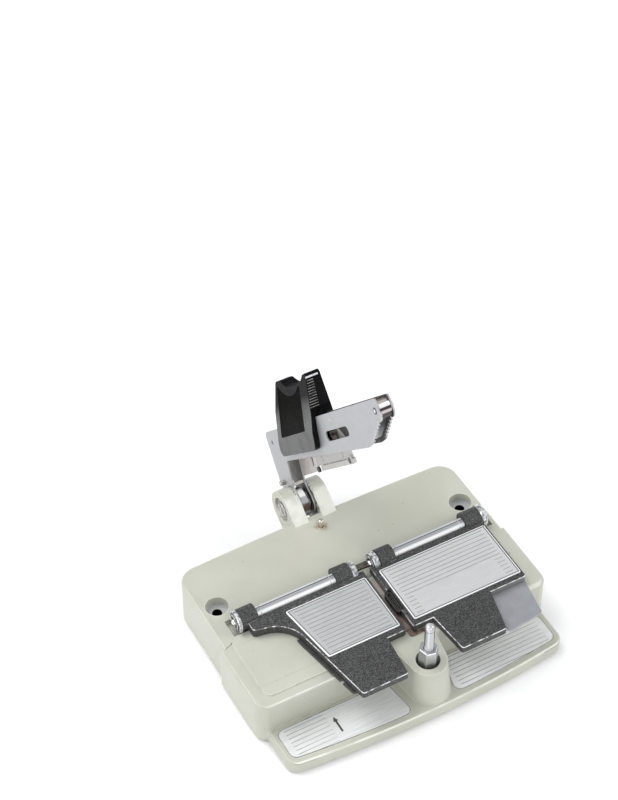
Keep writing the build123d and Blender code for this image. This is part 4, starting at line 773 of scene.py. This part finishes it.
def cheek_finish(name, inner_way):
    """Satin plated sheet; its inner face is painted dark for grease and for the shade between the plates, and
    its edges carry painted highlights, brightest on the teeth.
    """
    material, tree, shader, place = new_finish(name, Metallic=0.55)
    d, u = arm_place(tree, place)
    satin = ramp(tree, grain(tree, place, 5 * MM, detail=3), 0.3, 0.7)
    tone = mixed(tree, satin, tint(170, 171, 173), tint(177, 178, 180))
    dots = ramp(tree, grain(tree, place, 0.9 * MM, detail=1), 0.78, 0.82)
    tone = mixed(tree, times(tree, dots, 0.3), tone, tint(120, 118, 114))
    # Painted highlights on the edges, brightest along the teeth of the nose.
    nose = times(tree, ramp(tree, d, *NOSE_D), ramp(tree, u, *NOSE_U))
    tone = mixed(tree, times(tree, edge_mask(tree, 0.3 * MM), nose), tone, tint(250, 250, 250))
    tone = mixed(tree, times(tree, edge_mask(tree, 0.2 * MM), 0.5), tone, tint(236, 236, 236))
    # The inner face is painted dark, for grease and for the shade between the plates.
    inner = above(tree, facing(tree, (inner_way, 0.0, 0.0)), 0.8)
    smear = ramp(tree, grain(tree, place, 2.5 * MM, 5, 0.7), 0.3, 0.7)
    tone = mixed(tree, times(tree, inner, 0.9), tone, mixed(tree, smear, tint(34, 32, 29), tint(104, 98, 90)))
    feed(tree, shader, Base_Color=tone, Roughness=ramp(tree, satin, 0, 1, 0.42, 0.48))
    return material


dressed("arm_plate_near", "arm", cheek_finish("near_cheek_steel", 1.0), 0.12 * MM)
dressed("arm_plate_far", "arm", cheek_finish("far_cheek_steel", -1.0), 0.12 * MM)

SEAM = (31.0 * MM, 14.0 * MM)  # a point of the seam, along the arm and above its hinge
SEAM_RUN = 5.0 / 6.8  # how far the seam runs along the arm for each step up
SLOT_CENTRE = (26.0 * MM, 18.2 * MM)
SLOT_ACROSS = (sin(radians(70.0)), -cos(radians(70.0)))
PIN_MARKS = ((40.7 * MM, 17.7 * MM), (68.6 * MM, 17.3 * MM))
MARK_RADIUS = 1.3 * MM


def across_line(tree, d, u, spot, d_share, u_share):
    """Signed distance to one side of a line through a spot of the arm."""
    first = times(tree, minus(tree, d, spot[0]), d_share)
    return calc(tree, "ADD", first, times(tree, minus(tree, u, spot[1]), u_share))


def carrier_finish(name, shadowed):
    """Satin sheet in two tones that meet at a seam, with pin marks; the catch gets painted shadow at one
    side.
    """
    material, tree, shader, place = new_finish(name, Metallic=0.3)
    d, u = arm_place(tree, place)
    satin = ramp(tree, grain(tree, place, 2.2 * MM, detail=4), 0.3, 0.7)
    past = across_line(tree, d, u, SEAM, 1.0, -SEAM_RUN)
    warm = mixed(tree, satin, tint(208, 199, 194), tint(217, 210, 205))
    cool = mixed(tree, satin, tint(190, 187, 184), tint(199, 197, 195))
    tone = mixed(tree, ramp(tree, past, -0.1 * MM, 0.1 * MM), warm, cool)
    tone = mixed(tree, times(tree, near(tree, past, 0.0, 0.3 * MM), 0.6), tone, tint(110, 106, 102))
    spots = ramp(tree, grain(tree, place, 0.7 * MM, detail=1), 0.76, 0.80)
    tone = mixed(tree, times(tree, spots, 0.45), tone, tint(100, 94, 88))
    for mark in PIN_MARKS:
        around = near(tree, from_centre(tree, d, u, mark), MARK_RADIUS, 0.3 * MM)
        tone = mixed(tree, times(tree, around, above(tree, d, mark[0]), 0.8), tone, tint(70, 66, 62))
    if shadowed:
        # Painted shadow over the catch on both sides of a light band, darkest on one side.
        across = across_line(tree, d, u, SLOT_CENTRE, *SLOT_ACROSS)
        tone = mixed(tree, ramp(tree, across, 0.3 * MM, 0.7 * MM), tone, tint(22, 20, 18))
        tone = mixed(tree, ramp(tree, across, -1.3 * MM, -1.6 * MM), tone, tint(60, 56, 52))
    feed(tree, shader, Base_Color=tone, Roughness=ramp(tree, satin, 0, 1, 0.38, 0.46))
    return material


carrier_steel = carrier_finish("carrier_steel", False)
catch_steel = carrier_finish("catch_steel", True)
worn_steel = metal_finish("worn_steel", tint(206, 204, 202), tint(150, 146, 142), 0.22, 0.38, 1.6 * MM)
for node in ("tool_carrier", "neck_bridge", "blade_strip", "carrier_link"):
    dressed(node, "arm", carrier_steel, 0.1 * MM)
dressed("carrier_catch", "arm", catch_steel, 0.1 * MM)
for node in ("arm_spacers", "carrier_rivets", "arm_stop_bar"):
    dressed(node, "arm", worn_steel, 0.1 * MM)

drum_chrome, tree, shader, place = new_finish("drum_chrome", Metallic=0.25)
# Painted reflection on the drum: dark at its top, a white band, brown below.
tone = reflection_bands(tree, UPWARD, tint(176, 178, 180), (
    (0.93, 1.1, tint(78, 76, 72)), (0.42, 0.92, tint(255, 255, 255)), (-0.6, 0.0, tint(92, 76, 66)),
))
feed(tree, shader, Base_Color=tone)
feed(tree, shader, Roughness=ramp(tree, grain(tree, place, 2 * MM, 4), 0.3, 0.7, 0.14, 0.3))
dressed("hub_roller", "arm", drum_chrome, 0.1 * MM)
dressed("catch_coil", "arm", dark_steel, 0.2 * MM)


def arm_stud(name, d, u, low_x, high_x, radius, finish, slot):
    """Short round pin along X at a place on the arm, all in mm."""
    stud = bmesh.new()
    turned = Matrix.Translation(arm_spot(d, u, (low_x + high_x) / 2)) @ Matrix.Rotation(pi / 2, 4, "Y")
    bmesh.ops.create_cone(
        stud, cap_ends=True, segments=32, radius1=radius * MM, radius2=radius * MM,
        depth=(high_x - low_x) * MM, matrix=turned,
    )
    finished(stud, name, "arm", finish)


STUDS = (  # name, place along the arm and above its hinge, least and greatest X, radius, finish, slot
    ("blade_end_ring", 80.6, 14.2, 1.85, 2.45, 2.2, carrier_steel, "steel"),
    # the eye is a black disc: painted shade in the hole of the blade's end
    ("blade_end_eye", 80.4, 14.0, 1.75, 2.2, 1.6, black_steel, "dark_steel"),
    ("carrier_corner_pin", 32.6, 13.1, 2.7, 3.7, 1.5, black_steel, "dark_steel"),
)
for stud in STUDS:
    arm_stud(*stud)
dressed("arm_web", "arm", black_steel, 0.1 * MM)

STRIP_SHADE = (140 * MM, 128 * MM)  # along the arm: in the shade of the roller, and out of it; the strip is painted darker in that shade
strip_finish, tree, shader, place = new_finish("strip_steel", Metallic=0.5)
d = arm_place(tree, place)[0]
oil = ramp(tree, grain(tree, place, 2 * MM, 4), 0.3, 0.7)
tone = mixed(tree, ramp(tree, d, *STRIP_SHADE), tint(72, 76, 78), tint(190, 194, 196))
feed(tree, shader, Base_Color=mixed(tree, times(tree, oil, 0.25), tone, tint(50, 50, 48)))
feed(tree, shader, Roughness=ramp(tree, oil, 0, 1, 0.3, 0.5))
dressed("nose_strip", "arm", strip_finish, 0.1 * MM)

ROLLER_CENTRE = (146.9 * MM, 33.1 * MM)
# Painted reflection: bands of light and dark round the roller.
ROLLER_BANDS = (  # middle and half width as shares of the radius, and colour
    (0.72, 0.16, tint(186, 178, 174)), (0.30, 0.30, tint(254, 254, 254)), (-0.12, 0.12, tint(58, 46, 42)),
    (-0.42, 0.20, tint(206, 198, 194)),
)
roller_chrome, tree, shader, place = new_finish("roller_chrome", Metallic=0.2)
d, u = arm_place(tree, place)
forth = minus(tree, d, ROLLER_CENTRE[0])
up = minus(tree, u, ROLLER_CENTRE[1])
outward = shade(tree, "CombineXYZ", {0: forth, 1: up, 2: 0.0}).outputs[0]
across = axes(tree, shade(tree, "VectorMath", {0: outward}, operation="NORMALIZE").outputs[0])[1]
tone = tint(96, 88, 84)
for middle, half, colour in ROLLER_BANDS:
    tone = mixed(tree, near(tree, across, middle, half), tone, colour)
feed(tree, shader, Base_Color=tone, Roughness=ramp(tree, grain(tree, place, 2 * MM), 0.3, 0.7, 0.1, 0.18))
dressed("nose_roller", "roller", roller_chrome, 0.06 * MM)

PIN_RING = (1.3 * MM, 0.55 * MM)  # middle radius and half width of the dark ring
pin_chrome, tree, shader, place = new_finish("pin_chrome", Metallic=0.3)
d, u = arm_place(tree, place)
around = near(tree, from_centre(tree, d, u, ROLLER_CENTRE), *PIN_RING)
ring = times(tree, around, below(tree, axes(tree, place)[0], 0.0))
smear = ramp(tree, grain(tree, place, 1.2 * MM, 3), 0.3, 0.7)
tone = mixed(tree, smear, tint(196, 196, 198), tint(244, 244, 244))
feed(tree, shader, Base_Color=mixed(tree, ring, tone, tint(52, 52, 54)))
feed(tree, shader, Roughness=ramp(tree, smear, 0, 1, 0.2, 0.3))
dressed("roller_pin", "arm", pin_chrome, 0.1 * MM)
dressed("arm_hinge_pin", "base", worn_steel, 0.12 * MM)
dressed("hinge_nut", "base", worn_steel, 0.15 * MM)
cad_nodes["torsion_spring"].data.materials[0] = spring_wire

# ---- Handle -----------------------------------------------------------------------------------------
# Two glossy black plastic shells closed over the arm's plates, with a sunk matt panel in each side.
# Ribs for the thumb run across the front, coarse on the near shell and fine on the far one.
RIB_FOOT = (75.9, 43.0)
RIB_HEAD = (80.6, 55.2)
SHELL_HALF = (5.3, 3.8)  # half width at the lowest and the highest rib
RIB_ROWS = (  # shell, ribs, side of the middle that it is on, half height
    ("near", 11, -1, 0.42),
    ("far", 20, 1, 0.2),
)
RIB_SHIFT = 0.2  # how much further out a rib lies than the middle of its half
RIB_CLEAR = 0.6  # how much narrower a rib is than its half
RIB_SIDE = 1.6  # side of a rib's square section, in half heights
HORN_LIGHT = (56.9 * MM, 0.55 * MM)  # height above the hinge and half width of the painted highlight strip
HORN_START = 78 * MM
HORN_SIDE = 2.6 * MM
DULL_FROM = (35 * MM, 50 * MM)


def side_finish(name, base_low, base_high, rough, gloss_low, gloss_high):
    """Black plastic, glossier at its foot than at its head, with dust specks and a painted highlight along
    its horn; its front face is dull.
    """
    material, tree, shader, place = new_finish(name, IOR=1.5)
    d, u = arm_place(tree, place)
    smear = ramp(tree, grain(tree, place, 8 * MM, detail=4), 0.3, 0.7)
    dust = times(tree, ramp(tree, grain(tree, place, 0.6 * MM, detail=0), 0.80, 0.84), 0.4)
    tone = mixed(tree, dust, mixed(tree, smear, base_low, base_high), tint(120, 114, 104))
    tone = mixed(tree, times(tree, edge_mask(tree, 0.35 * MM), 0.12), tone, tint(120, 120, 120))
    forward = facing(tree, ALONG)
    # Painted highlight along the top of the horn.
    strip = near(tree, u, *HORN_LIGHT)
    inside = times(tree, above(tree, d, HORN_START), below(tree, axes(tree, place)[0], HORN_SIDE))
    lit = times(tree, strip, above(tree, forward, 0.45), inside, 0.9)
    feed(tree, shader, Base_Color=mixed(tree, lit, tone, tint(232, 232, 234)))
    climb = ramp(tree, u, *DULL_FROM, gloss_low, gloss_high)
    gloss = times(tree, climb, ramp(tree, forward, 0.2, 0.7, 1.0, 0.1))
    feed(tree, shader, Specular_IOR_Level=gloss)
    feed(tree, shader, Roughness=ramp(tree, smear, 0, 1, rough, rough + 0.1))
    relief(tree, shader, grain(tree, place, 0.9 * MM, detail=3), 0.006 * MM)
    return material


gloss_black = side_finish("gloss_black", tint(15, 15, 16), tint(22, 22, 24), 0.24, 0.55, 0.015)
matt_black = side_finish("matt_black", tint(13, 13, 12), tint(21, 20, 19), 0.6, 0.03, 0.01)
for side in ("near", "far"):
    dressed(f"handle_{side}", "arm", gloss_black, 0.6 * MM, segments=3)
    dressed(f"grip_inset_{side}", "arm", matt_black, 0.15 * MM)

rib_black, tree, shader, place = new_finish("rib_black", Roughness=0.3)
# Painted highlight on the rib tops that face up, in patches like wear.
crest = ramp(tree, facing(tree, UP), 0.55, 0.9)
wear_and_highlight = times(tree, crest, ramp(tree, grain(tree, place, 1.2 * MM, 3), 0.35, 0.6, 0.3, 0.8))
feed(tree, shader, Base_Color=mixed(tree, wear_and_highlight, tint(24, 24, 24), tint(188, 186, 182)))
for shell, count, way, height in RIB_ROWS:
    ribs = bmesh.new()
    for number in range(count):
        share = number / (count - 1)
        d = RIB_FOOT[0] + (RIB_HEAD[0] - RIB_FOOT[0]) * share
        u = RIB_FOOT[1] + (RIB_HEAD[1] - RIB_FOOT[1]) * share
        half = SHELL_HALF[0] + (SHELL_HALF[1] - SHELL_HALF[0]) * share
        spot = arm_spot(d, u, way * (half + RIB_SHIFT) / 2)
        on_edge = Matrix.Translation(spot) @ Matrix.Rotation(pi / 4 - RISE, 4, "X")
        side = height * RIB_SIDE * MM
        form = Matrix.Diagonal(((half - RIB_CLEAR) * MM, side, side, 1.0))
        bmesh.ops.create_cube(ribs, size=1.0, matrix=on_edge @ form)
    # Only the near ribs get the painted highlight; the far ones stay glossy black.
    rib_finish = rib_black if shell == "near" else gloss_black
    finished(ribs, f"grip_ribs_{shell}", "arm", rib_finish)

# ---- Sizes ------------------------------------------------------------------------------------------
# The box round every piece that is shown, the floor left out.
low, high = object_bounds()
